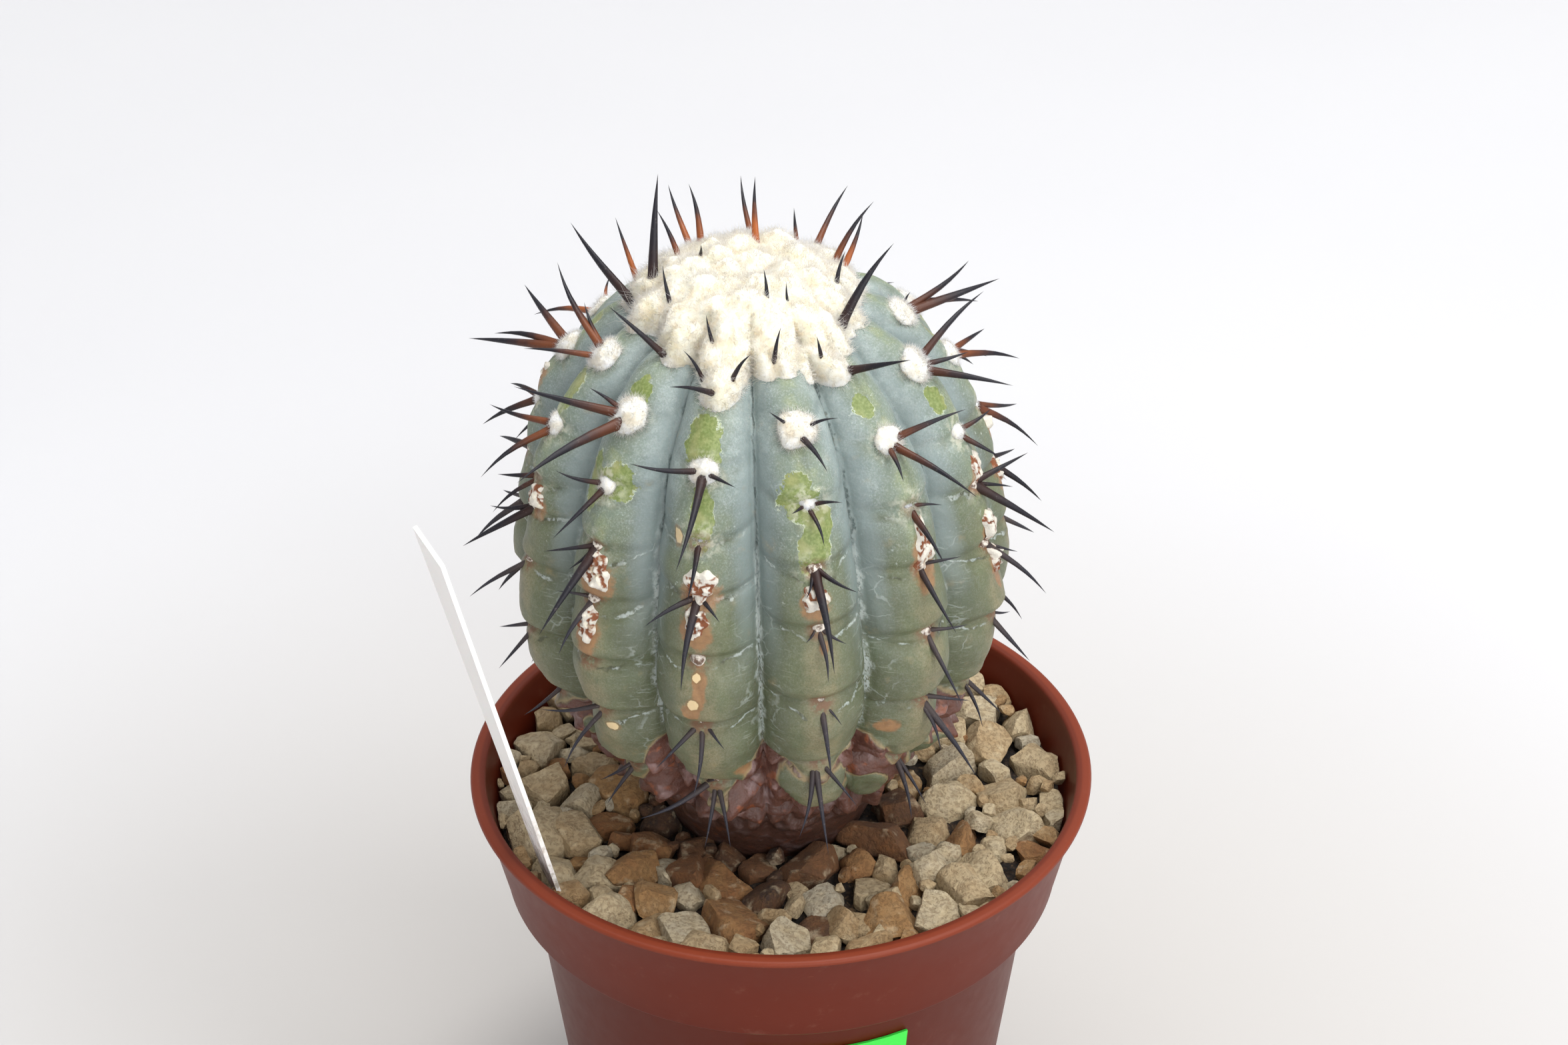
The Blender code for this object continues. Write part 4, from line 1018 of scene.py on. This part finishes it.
def make_pot():
    """The thin moulded pot with rounded edges, turned finer than its solid, and its drain holes."""
    columns = POT_SEGMENTS
    turns = round_turns(columns)
    rings = [flat_ring(radius, turns, height) for radius, height in pot_profile()]
    points = np.concatenate(rings + [[(0.0, 0.0, 2.0), (0.0, 0.0, 0.0)]])
    count = len(points) - 2
    faces = [grid_faces(len(rings), columns), fan_faces(0, columns, count, True),
             fan_faces(count - columns, columns, count + 1)]
    pot = add_piece("pot_shell", points, faces, ("pot",))
    cutters = []
    for k in range(DRAIN_HOLES):
        angle = TAU * (k + 0.5) / DRAIN_HOLES
        bm = bmesh.new()
        reach, width = DRAIN_CIRCLE * MM, DRAIN_RADIUS * MM
        place = Matrix.Translation((reach * math.cos(angle), reach * math.sin(angle), 0.0))
        bmesh.ops.create_cone(bm, cap_ends=True, segments=40, radius1=width, radius2=width,
                              depth=8.0 * MM, matrix=place)
        mesh = bpy.data.meshes.new("drain")
        bm.to_mesh(mesh)
        bm.free()
        cutter = bpy.data.objects.new("drain", mesh)
        bpy.context.scene.collection.objects.link(cutter)
        step = pot.modifiers.new("Drain", "BOOLEAN")
        step.operation = "DIFFERENCE"
        step.object = cutter
        step.solver = "EXACT"
        cutters.append(cutter)
    graph = bpy.context.evaluated_depsgraph_get()
    mesh = bpy.data.meshes.new_from_object(pot.evaluated_get(graph))
    pot.modifiers.clear()
    pot.data = mesh
    for cutter in cutters:
        bpy.data.objects.remove(cutter)
    mesh.shade_smooth()
    mesh.set_sharp_from_angle(angle=math.radians(40.0))
    return pot


# Materials
class Paint:
    """A procedural material: short calls that add nodes and hand back their outputs.

    A colour is an output, or three screen values from 0 to 255, or four linear ones. Sizes are in
    millimetres. The colour that coats are laid on is kept in self.colour.
    """

    def __init__(self, name):
        self.material = bpy.data.materials.new(name)
        self.material.use_nodes = True
        self.tree = self.material.node_tree
        self.shader = self.tree.nodes["Principled BSDF"]

    def plug(self, socket, value):
        if isinstance(value, bpy.types.NodeSocket):
            self.tree.links.new(value, socket)
        else:
            socket.default_value = value

    def node(self, kind, values=None, **settings):
        made = self.tree.nodes.new("ShaderNode" + kind)
        for key, value in settings.items():
            setattr(made, key, value)
        for key, value in (values or {}).items():
            self.plug(made.inputs[key], value)
        return made

    def vector(self, operation, *parts):
        return self.node("VectorMath", dict(enumerate(parts)), operation=operation)

    def point(self, stretch=(1.0, 1.0, 1.0)):
        """Place on the object in millimetres, stretched for streaks."""
        place = self.node("TexCoord").outputs["Object"]
        return self.vector("MULTIPLY", place, tuple(s / MM for s in stretch)).outputs[0]

    def height(self):
        return self.node("SeparateXYZ", {0: self.point()}).outputs[2]

    def attribute(self, name):
        return self.node("Attribute", attribute_name=name).outputs["Fac"]

    def noise(self, size, detail=2.0, rough=0.55, at=None, colour=False):
        values = {"Vector": at or self.point(), "Scale": 1.0 / size, "Detail": detail, "Roughness": rough}
        return self.node("TexNoise", values).outputs[1 if colour else 0]

    def cells(self, size, at, feature="F1"):
        values = {"Vector": at, "Scale": 1.0 / size}
        return self.node("TexVoronoi", values, feature=feature).outputs["Distance"]

    def math(self, operation, a, b=0.0):
        return self.node("Math", {0: a, 1: b}, operation=operation).outputs[0]

    def rest(self, share):
        return self.math("SUBTRACT", 1.0, share)

    def times(self, *parts):
        total = parts[0]
        for part in parts[1:]:
            total = self.math("MULTIPLY", total, part)
        return total

    def shaken(self, value, reach, *texture):
        """A value with noise added to it, up to half the reach either way."""
        wobble = self.math("SUBTRACT", self.noise(*texture), 0.5)
        return self.math("ADD", value, self.times(wobble, reach))

    def step(self, value, low, high):
        """Smooth step from 0 at low to 1 at high; low may be the larger."""
        values = {"Value": value, "From Min": low, "From Max": high}
        return self.node("MapRange", values, interpolation_type="SMOOTHSTEP").outputs[0]

    def spots(self, low, high, *texture):
        return self.step(self.noise(*texture), low, high)

    def mix(self, share, a, b, blend="MIX"):
        a, b = (linear(*c) if isinstance(c, tuple) and len(c) == 3 else c for c in (a, b))
        return self.node("Mix", {0: share, 6: a, 7: b}, data_type="RGBA", blend_type=blend).outputs[2]

    def coat(self, colour, *shares):
        """Lay a colour over the present one, as far as the product of the shares says."""
        self.colour = self.mix(self.times(*shares), self.colour, colour)

    def blend(self, share, a, b):
        return self.node("Mix", {0: share, 2: a, 3: b}).outputs[0]

    def bump(self, height, strength, distance, under=None):
        values = {"Height": height, "Strength": strength, "Distance": distance * MM}
        if under is not None:
            values["Normal"] = under
        return self.node("Bump", values).outputs[0]

    def finish(self, roughness, normal, **fixed):
        self.plug(self.shader.inputs["Base Color"], self.colour)
        self.plug(self.shader.inputs["Roughness"], roughness)
        self.plug(self.shader.inputs["Normal"], normal)
        for key, value in fixed.items():
            self.shader.inputs[key.replace("_", " ")].default_value = value
        return self.material


def stem_material():
    p = Paint("cactus_skin")
    names = ("rise", "crest", "side", "level", "span", "near")
    rise, crest, side, level, span, near = (p.attribute(name) for name in names)
    drift = p.shaken(rise, 30.0, 19.0)
    high = p.step(drift, 58.0, 88.0)
    middle = p.step(drift, 28.0, 60.0)
    # Skin colours by height: blue-grey near the crown, olive lower down; the middle and low colours are also
    # darker as painted shade where the stem turns away from the light overhead
    on_crest = p.mix(high, p.mix(middle, (135, 134, 105), (124, 129, 96)), (140, 153, 133))
    on_flank = p.mix(high, p.mix(middle, (111, 115, 88), (107, 114, 91)), (145, 159, 157))
    p.colour = p.mix(p.step(p.shaken(crest, 1.1, 7.5, 4.0), 0.88, 0.2), on_crest, on_flank)

    # Green blotches, pale bloom, tan and yellow crests, then grain and cloudy patches
    p.coat((105, 116, 80), p.spots(0.48, 0.68, 7.5, 3.0), p.step(drift, 92.0, 56.0), 0.5)
    p.coat((171, 184, 180), p.spots(0.5, 0.72, 4.5, 4.0, 0.6), high, 0.5)
    p.coat((160, 148, 112), p.step(crest, 0.66, 0.97), p.step(rise, 70.0, 52.0), p.step(rise, 14.0, 24.0),
           p.spots(0.28, 0.55, 6.0), 0.7)
    p.coat((164, 174, 122), p.step(crest, 0.78, 1.0), p.step(rise, 58.0, 74.0), p.spots(0.38, 0.58, 4.0, 3.0),
           0.6)
    grain = p.noise(0.34, 4.0, 0.8)
    p.coat(p.mix(high, (100, 108, 70), (122, 140, 122)), p.step(grain, 0.52, 0.36), 0.6)
    p.coat((194, 206, 200), p.step(grain, 0.5, 0.64), p.blend(high, 0.12, 0.55))
    p.coat(p.mix(high, (88, 98, 64), (120, 138, 128)), p.spots(0.56, 0.38, 2.6, 4.0, 0.65), 0.28)

    # Scratches across the flanks and pale flecks
    streaks = p.spots(0.58, 0.72, 1.0, 3.0, 0.6, p.point((0.3, 0.3, 2.4)))
    p.coat((192, 200, 182), streaks, p.step(crest, 0.8, 0.2), p.step(rise, 82.0, 66.0),
           p.step(rise, 18.0, 30.0), 0.36)
    p.coat((214, 224, 214), p.spots(0.62, 0.7, 0.9, 3.0, 0.6), p.spots(0.46, 0.6, 6.0),
           p.step(rise, 56.0, 70.0), 0.6)

    # Pale lines in the furrows, cracks along the creases, painted shade along the creases, and dark dots
    from_furrow = p.math("ABSOLUTE", p.shaken(p.times(side, 3.1), 2.4, 3.2, 3.0, 0.6))
    in_furrow = p.step(crest, 0.3, 0.08)
    above = p.step(rise, 16.0, 26.0)
    broken = p.times(p.spots(0.34, 0.48, 2.6, 3.0), p.spots(0.34, 0.5, 0.7))
    line = p.times(p.step(from_furrow, 0.7, 0.16), in_furrow, broken, p.step(rise, 80.0, 64.0), above)
    warp = p.vector("MULTIPLY", p.noise(4.0, 3.0, colour=True), (4.0, 4.0, 4.0)).outputs[0]
    bent = p.vector("ADD", p.point((1.0, 1.0, 1.5)), warp).outputs[0]
    web = p.cells(7.0, bent, "DISTANCE_TO_EDGE")
    branch = p.times(p.step(web, 0.035, 0.006), p.step(crest, 0.42, 0.14), p.spots(0.44, 0.58, 5.0, 3.0),
                     p.step(rise, 76.0, 60.0), above)
    dotted = p.blend(p.spots(0.4, 0.54, 0.8), 0.35, 1.0)
    dots = p.times(p.step(from_furrow, 0.4, 0.06), in_furrow, dotted, p.step(rise, 62.0, 74.0),
                   p.spots(0.34, 0.5, 5.0))
    steps = p.math("SUBTRACT", p.math("FRACT", p.math("ADD", level, 0.5)), 0.5)
    from_crease = p.math("ABSOLUTE", p.shaken(p.times(steps, span), 3.6, 3.6, 4.0, 0.6))
    slopes = p.times(p.step(crest, 0.94, 0.7), p.step(rise, 24.0, 34.0))
    beads = p.times(p.spots(0.42, 0.58, 3.4, 3.0), p.spots(0.36, 0.52, 0.8))
    crack = p.times(p.step(from_crease, 0.4, 0.08), slopes, beads, p.step(rise, 82.0, 70.0))
    crack = p.math("MAXIMUM", crack, p.times(branch, 0.45))
    above = p.step(rise, 22.0, 30.0)
    # Painted shade along the creases: a broad darkening, then a narrow darker line
    p.coat((92, 98, 62), p.step(from_crease, 1.5, 0.1), p.step(crest, 0.99, 0.8), above,
           p.spots(0.36, 0.6, 6.0), 0.4)
    p.coat((70, 72, 46), p.step(from_crease, 0.42, 0.1), p.step(crest, 1.0, 0.9), p.step(crest, 0.25, 0.6),
           p.spots(0.46, 0.56, 5.0), p.step(rise, 84.0, 70.0), above, 0.75)
    # Pale bloom in the upper furrows: the skin's own bloom, and also painted light that lifts the furrows'
    # shade
    p.coat((152, 167, 166), p.step(crest, 0.46, 0.04), p.step(rise, 46.0, 68.0), 0.75)
    frost = p.mix(p.spots(0.38, 0.62, 0.3, 3.0, 0.8), (166, 182, 176), (208, 218, 215))
    p.coat(frost, p.step(drift, 76.0, 100.0), p.step(crest, 1.15, 0.3), p.spots(0.36, 0.66, 5.0, 5.0, 0.7),
           0.62)
    lines = p.math("MAXIMUM", line, crack)
    p.coat((206, 216, 210), lines, 0.8)
    p.coat((62, 80, 76), dots, 0.8)
    p.colour = p.mix(1.0, p.colour, (SKIN_TONE, SKIN_TONE, SKIN_TONE, 1.0), "MULTIPLY")

    # Green where the bloom has rubbed off, with a lifted pale edge
    rub = p.shaken(p.attribute("rub"), 1.3, 1.6, 5.0, 0.7)
    bare = p.step(rub, -0.01, 0.02)
    p.coat((202, 210, 184), p.step(rub, -0.11, -0.02), p.spots(0.46, 0.56, 2.2, 3.0), 0.7)
    green = p.mix(p.spots(0.38, 0.66, 0.5, 3.0), (104, 119, 60), (129, 141, 85))
    p.coat(p.mix(p.times(p.spots(0.45, 0.7, 5.0), 0.7), green, (150, 150, 100)), bare)

    # Rust stains, spots of cork, and the skin round each areole
    rust = p.step(p.shaken(p.attribute("stain"), 1.1, 1.6, 3.0), -0.15, 0.3)
    p.coat(p.mix(p.noise(1.2, 3.0), (112, 70, 42), (180, 132, 86)), rust, 0.75)
    spot = p.attribute("cork")
    cork = p.step(p.shaken(spot, 0.4, 1.4), -0.05, 0.1)
    p.coat((126, 96, 58), p.step(spot, -0.45, -0.1), p.rest(cork), 0.6)
    p.coat((214, 190, 146), cork)
    p.coat((206, 204, 186), p.step(near, 5.0, 2.0), p.spots(0.44, 0.6, 1.5, 3.0), p.step(rise, 60.0, 80.0),
           0.5)
    p.coat((112, 70, 44), p.step(near, 2.9, 1.3), p.step(rise, 84.0, 70.0), p.spots(0.34, 0.52, 1.1), 0.75)

    # The corky neck
    mottle = p.shaken(p.attribute("bark"), 0.9, 3.6, 3.0)
    bark = p.step(mottle, 0.36, 0.62)
    edge = p.mix(p.noise(1.8, 3.0), (150, 112, 84), (158, 148, 104))
    p.coat(edge, p.step(mottle, 0.1, 0.4), p.rest(bark), 0.7)
    tone = p.mix(p.noise(3.4, 3.0), (62, 36, 30), (116, 76, 62))
    tone = p.mix(p.times(p.spots(0.54, 0.68, 4.4), 0.6), tone, (158, 134, 132))
    tone = p.mix(p.times(p.spots(0.58, 0.7, 3.0), 0.7), tone, (140, 78, 46))
    # Painted shade: the bark darkens towards the bottom, under the overhanging ribs
    p.coat(p.mix(p.times(p.step(rise, 15.0, 1.0), 0.65), tone, (50, 33, 26)), bark)

    roughness = p.blend(bark, p.blend(bare, p.blend(high, 0.5, 0.62), 0.4), 0.46)
    normal = p.bump(grain, 0.3, 0.25)
    normal = p.bump(p.noise(1.9, 3.0), 0.4, 0.5, normal)
    normal = p.bump(p.rest(bare), 0.5, 0.22, normal)
    normal = p.bump(p.times(bark, p.noise(2.2, 3.0)), 0.6, 0.9, normal)
    normal = p.bump(lines, 0.4, 0.2, normal)
    return p.finish(roughness, normal, Subsurface_Weight=0.08, Subsurface_Scale=0.0015)


def spine_material():
    p = Paint("spine_horn")
    tip, warm = (p.attribute(name) for name in ("tip", "warm"))
    far = p.shaken(tip, 0.3, 2.2)
    dark = p.step(p.math("SUBTRACT", far, p.times(warm, 0.42)), -0.16, 0.3)
    foot = p.mix(p.step(warm, 0.36, 1.0), (44, 22, 17), (158, 86, 40))
    grey = p.mix(p.step(far, 0.0, 0.6), (62, 52, 50), (34, 33, 42))
    p.colour = p.mix(p.step(warm, 0.06, 0.3), grey, p.mix(dark, foot, (20, 18, 27)))
    p.coat((150, 138, 130), p.spots(0.58, 0.76, 0.6, 4.0, 0.7), p.blend(warm, 0.32, 0.1))
    p.coat((40, 24, 20), p.step(tip, 0.08, 0.0), 0.6)
    normal = p.bump(p.noise(0.5, 3.0, at=p.point((1.0, 1.0, 0.4))), 0.3, 0.12)
    return p.finish(p.blend(warm, 0.55, 0.36), normal, Specular_IOR_Level=0.35)


def wool_material(name, light, painted_tuft_shade, tint):
    p = Paint(name)
    # Mottled at random between the pale colour and a darker one, as painted shade between the tufts
    p.colour = p.mix(p.spots(0.36, 0.6, 1.8, 3.0), painted_tuft_shade, light)
    p.coat(tint, p.spots(0.5, 0.7, 6.5), 0.6)
    return p.finish(0.95, p.bump(p.noise(0.3, 3.0, 0.7), 0.5, 0.3), Subsurface_Weight=1.0,
                    Subsurface_Scale=WOOL_SCATTER, Subsurface_Radius=(1.0, 0.95, 0.85),
                    Specular_IOR_Level=0.1)


def old_felt_material():
    p = Paint("old_felt")
    p.colour = p.mix(p.spots(0.4, 0.62, 0.9, 4.0), (98, 76, 62), (222, 214, 202))
    return p.finish(0.9, p.bump(p.noise(0.4, 3.0), 0.7, 0.3))


def crust_material():
    p = Paint("peeling_crust")
    lump = p.shaken(p.attribute("lump"), 0.5, 0.8, 4.0, 0.65)
    rust = p.mix(p.noise(1.5, 3.0), (104, 54, 34), (150, 92, 56))
    p.colour = p.mix(p.step(lump, 0.14, 0.36), rust, (218, 212, 200))
    p.coat((240, 232, 205), p.spots(0.55, 0.7, 1.8), 0.5)
    return p.finish(0.85, p.bump(p.noise(0.6, 4.0, 0.7), 0.8, 0.5))


def stone_material():
    p = Paint("pumice_gravel")
    ramp = p.node("ValToRGB", {0: p.shaken(p.attribute("tone"), 0.3, 3.5, 3.0)})
    while len(ramp.color_ramp.elements) < len(STONE_TONES):
        ramp.color_ramp.elements.new(0.5)
    for element, (place, tint) in zip(ramp.color_ramp.elements, STONE_TONES):
        element.position = place
        element.color = linear(*tint)
    p.colour = ramp.outputs[0]
    pits = p.spots(0.36, 0.52, 0.8, 4.0, 0.7)
    # Painted shade: darker where the pits sink in
    p.coat((118, 88, 56), p.rest(pits), 0.36)
    # Painted highlight: pale cream patches at random
    p.coat((224, 208, 174), p.spots(0.54, 0.72, 2.8, 3.0), 0.3)
    return p.finish(0.88, p.bump(pits, 0.4, 0.3, p.bump(p.noise(1.6, 5.0, 0.65), 0.7, 0.9)))


def bed_material():
    p = Paint("grit_bed_and_gap_shade")
    grains = p.cells(0.9, p.point())
    # Grit, coloured very dark so that the gaps between the stones show painted shade
    p.colour = p.mix(p.step(grains, 0.2, 0.6), (50, 37, 27), (24, 18, 14))
    p.coat((130, 104, 74), p.spots(0.56, 0.7, 1.8, 3.0), 0.45)
    return p.finish(0.95, p.bump(grains, 0.8, 0.5))


def soil_material():
    p = Paint("potting_mix")
    p.colour = p.mix(p.noise(2.0, 4.0, 0.7), (34, 24, 18), (74, 56, 42))
    return p.finish(0.97, p.bump(p.noise(1.2, 4.0), 0.9, 1.0))


def pot_material():
    """Terracotta-coloured plastic: dusty and a little scuffed, with painted shade low on the wall and inside
    the mouth, and painted light on the lip's top.
    """
    p = Paint("terracotta_plastic")
    p.colour = p.mix(p.noise(26.0), (91, 28, 9), (97, 31, 11))
    p.coat((90, 27, 10), p.spots(0.45, 0.75, 1.0, 3.0, 0.55, p.point((0.09, 0.09, 0.015))), 0.25)
    p.coat((196, 150, 130), p.spots(0.58, 0.74, 5.0, 5.0, 0.7), 0.08)
    p.coat((200, 130, 106), p.spots(0.7, 0.76, 1.0, 3.0, 0.55, p.point((0.5, 0.5, 2.0))), 0.1)
    height = p.height()
    # Painted shade: darker low on the wall, under the band
    p.coat((72, 21, 7), p.step(height, 90.0, 72.0), 0.5)
    # Painted light: paler on the lip's top, which faces up
    p.coat((128, 58, 36), p.step(height, 102.2, 103.4), 0.6)
    # Painted shade: the inside wall of the mouth, above the gravel, is darker
    reach = p.vector("LENGTH", p.vector("MULTIPLY", p.point(), (1.0, 1.0, 0.0)).outputs[0]).outputs["Value"]
    wall = p.math("ADD", p.times(height, BAND_FLARE), BAND_MIDDLE)
    inside = p.step(p.math("SUBTRACT", reach, wall), 0.3, -0.3)
    p.coat((84, 30, 16), inside, p.step(height, 85.0, 88.0), 0.6)
    normal = p.bump(p.noise(22.0), 0.12, 1.0, p.bump(p.noise(0.5), 0.05, 0.1))
    return p.finish(p.blend(p.noise(3.0, 3.0), 0.38, 0.5), normal, Specular_IOR_Level=0.2)


def label_material():
    p = Paint("label_plastic")
    p.colour = p.mix(p.noise(14.0), (236, 233, 228), (243, 240, 236))
    dirt = p.times(p.step(p.height(), 132.0, 98.0), p.spots(0.42, 0.62, 2.2, 4.0, 0.65))
    p.coat((150, 132, 110), dirt, 0.7)
    return p.finish(p.blend(dirt, 0.36, 0.7), p.bump(p.noise(1.1), 0.08, 0.1),
                    Subsurface_Weight=0.1, Subsurface_Scale=0.0008)


def sticker_material():
    p = Paint("sticker_paper")
    p.colour = p.mix(p.noise(0.6, 3.0), (52, 216, 62), (60, 224, 74))
    p.coat((76, 224, 92), p.spots(0.5, 0.7, 8.0, 3.0), 0.2)
    return p.finish(0.5, p.bump(p.noise(0.35), 0.12, 0.05))


def paint(piece, material):
    piece.data.materials.clear()
    piece.data.materials.append(material)


def paint_node(name, material):
    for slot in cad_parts[name].material_slots:
        slot.material = material


# Stage
def make_floor():
    """A pale round sheet with a few soft folds, which sweeps up far behind the object on every side."""
    near_rings, far_rings = FLOOR_RINGS
    reach = np.concatenate((np.linspace(*near_rings)[1:], np.geomspace(*far_rings)))
    away, turn = (a.ravel() for a in np.meshgrid(reach, round_turns(FLOOR_COLUMNS), indexing="ij"))
    lift = np.maximum(away - FLOOR_RISES_FROM, 0.0) ** 2 / FLOOR_RISE
    points = np.stack([away * np.cos(turn), away * np.sin(turn), lift], -1)
    folds = 2.4 * noise(points * (1.0, 0.45, 0.0), 260.0, 71, 2) - 3.0
    points[:, 2] += -FLOOR_DEPTH + smooth(120.0, 420.0, away) * folds
    points = np.concatenate((points, [(0.0, 0.0, -FLOOR_DEPTH)]))
    faces = [*grid_faces(len(reach), FLOOR_COLUMNS), *fan_faces(0, FLOOR_COLUMNS, len(points) - 1, True)]
    mesh = bpy.data.meshes.new("floor")
    mesh.from_pydata([tuple(p * MM) for p in points], [], [tuple(int(i) for i in f) for f in faces])
    mesh.update()
    mesh.shade_smooth()
    floor = bpy.data.objects.new("floor", mesh)
    bpy.context.scene.collection.objects.link(floor)
    p = Paint("pale_floor")
    distance = p.vector("LENGTH", p.point()).outputs["Value"]
    p.colour = p.mix(p.noise(240.0), (200, 200, 203), (206, 206, 208))
    # Painted shadow: the floor darkens towards the pot
    p.coat((184, 181, 178), p.step(distance, 360.0, 60.0))
    p.coat((240, 240, 242), p.step(distance, 900.0, 2600.0))
    paint(floor, p.finish(0.9, p.bump(p.noise(3.0), 0.05, 0.4)))


def make_lights():
    for name, place, size, energy, tint in LIGHTS:
        data = bpy.data.lights.new(name, "AREA")
        data.shape = "DISK"
        data.size = size
        data.energy = energy
        data.color = tint
        lamp = bpy.data.objects.new(name, data)
        lamp.location = place
        lamp.rotation_euler = (LIGHT_AIM - Vector(place)).to_track_quat("-Z", "Y").to_euler()
        bpy.context.scene.collection.objects.link(lamp)
    world = bpy.data.worlds.new("studio")
    bpy.context.scene.world = world
    world.use_nodes = True
    world.node_tree.nodes["Background"].inputs["Color"].default_value = WORLD_TINT
    world.node_tree.nodes["Background"].inputs["Strength"].default_value = WORLD_STRENGTH


def make_camera():
    right, up, back = camera_axes()
    data = bpy.data.cameras.new("camera")
    data.lens = LENS
    data.sensor_width = SENSOR
    data.clip_start = 0.01
    camera = bpy.data.objects.new("camera", data)
    place = (np.array(CAMERA_TARGET) + back * CAMERA_DISTANCE) * MM
    turn = Matrix([(right[i], up[i], back[i]) for i in range(3)]).to_4x4()
    camera.matrix_world = Matrix.Translation(place) @ turn
    bpy.context.scene.collection.objects.link(camera)
    bpy.context.scene.camera = camera


make_camera()
paint(make_stem_skin(), stem_material())
horn = spine_material()
paint(make_spines(), horn)
felt, old_felt, felt_hair = make_felt()
felt_wool = wool_material("areole_wool", (253, 249, 240), (242, 233, 216), (246, 234, 214))
paint(felt, felt_wool)
paint(felt_hair, felt_wool)
paint(old_felt, old_felt_material())
paint(make_crusts(), crust_material())
crown_wool = wool_material("crown_wool", (252, 246, 232), (245, 234, 212), (250, 238, 206))
for soft in make_crown_wool():
    paint(soft, crown_wool)
paint(make_crown_spines(), horn)
stones, bed = make_gravel()
paint(stones, stone_material())
paint(bed, bed_material())
paint(make_pot(), pot_material())
paint_node("soil", soil_material())
paint_node("plant_label", label_material())
paint_node("pot_sticker", sticker_material())
make_floor()
make_lights()
bpy.context.scene.view_settings.view_transform = "Standard"
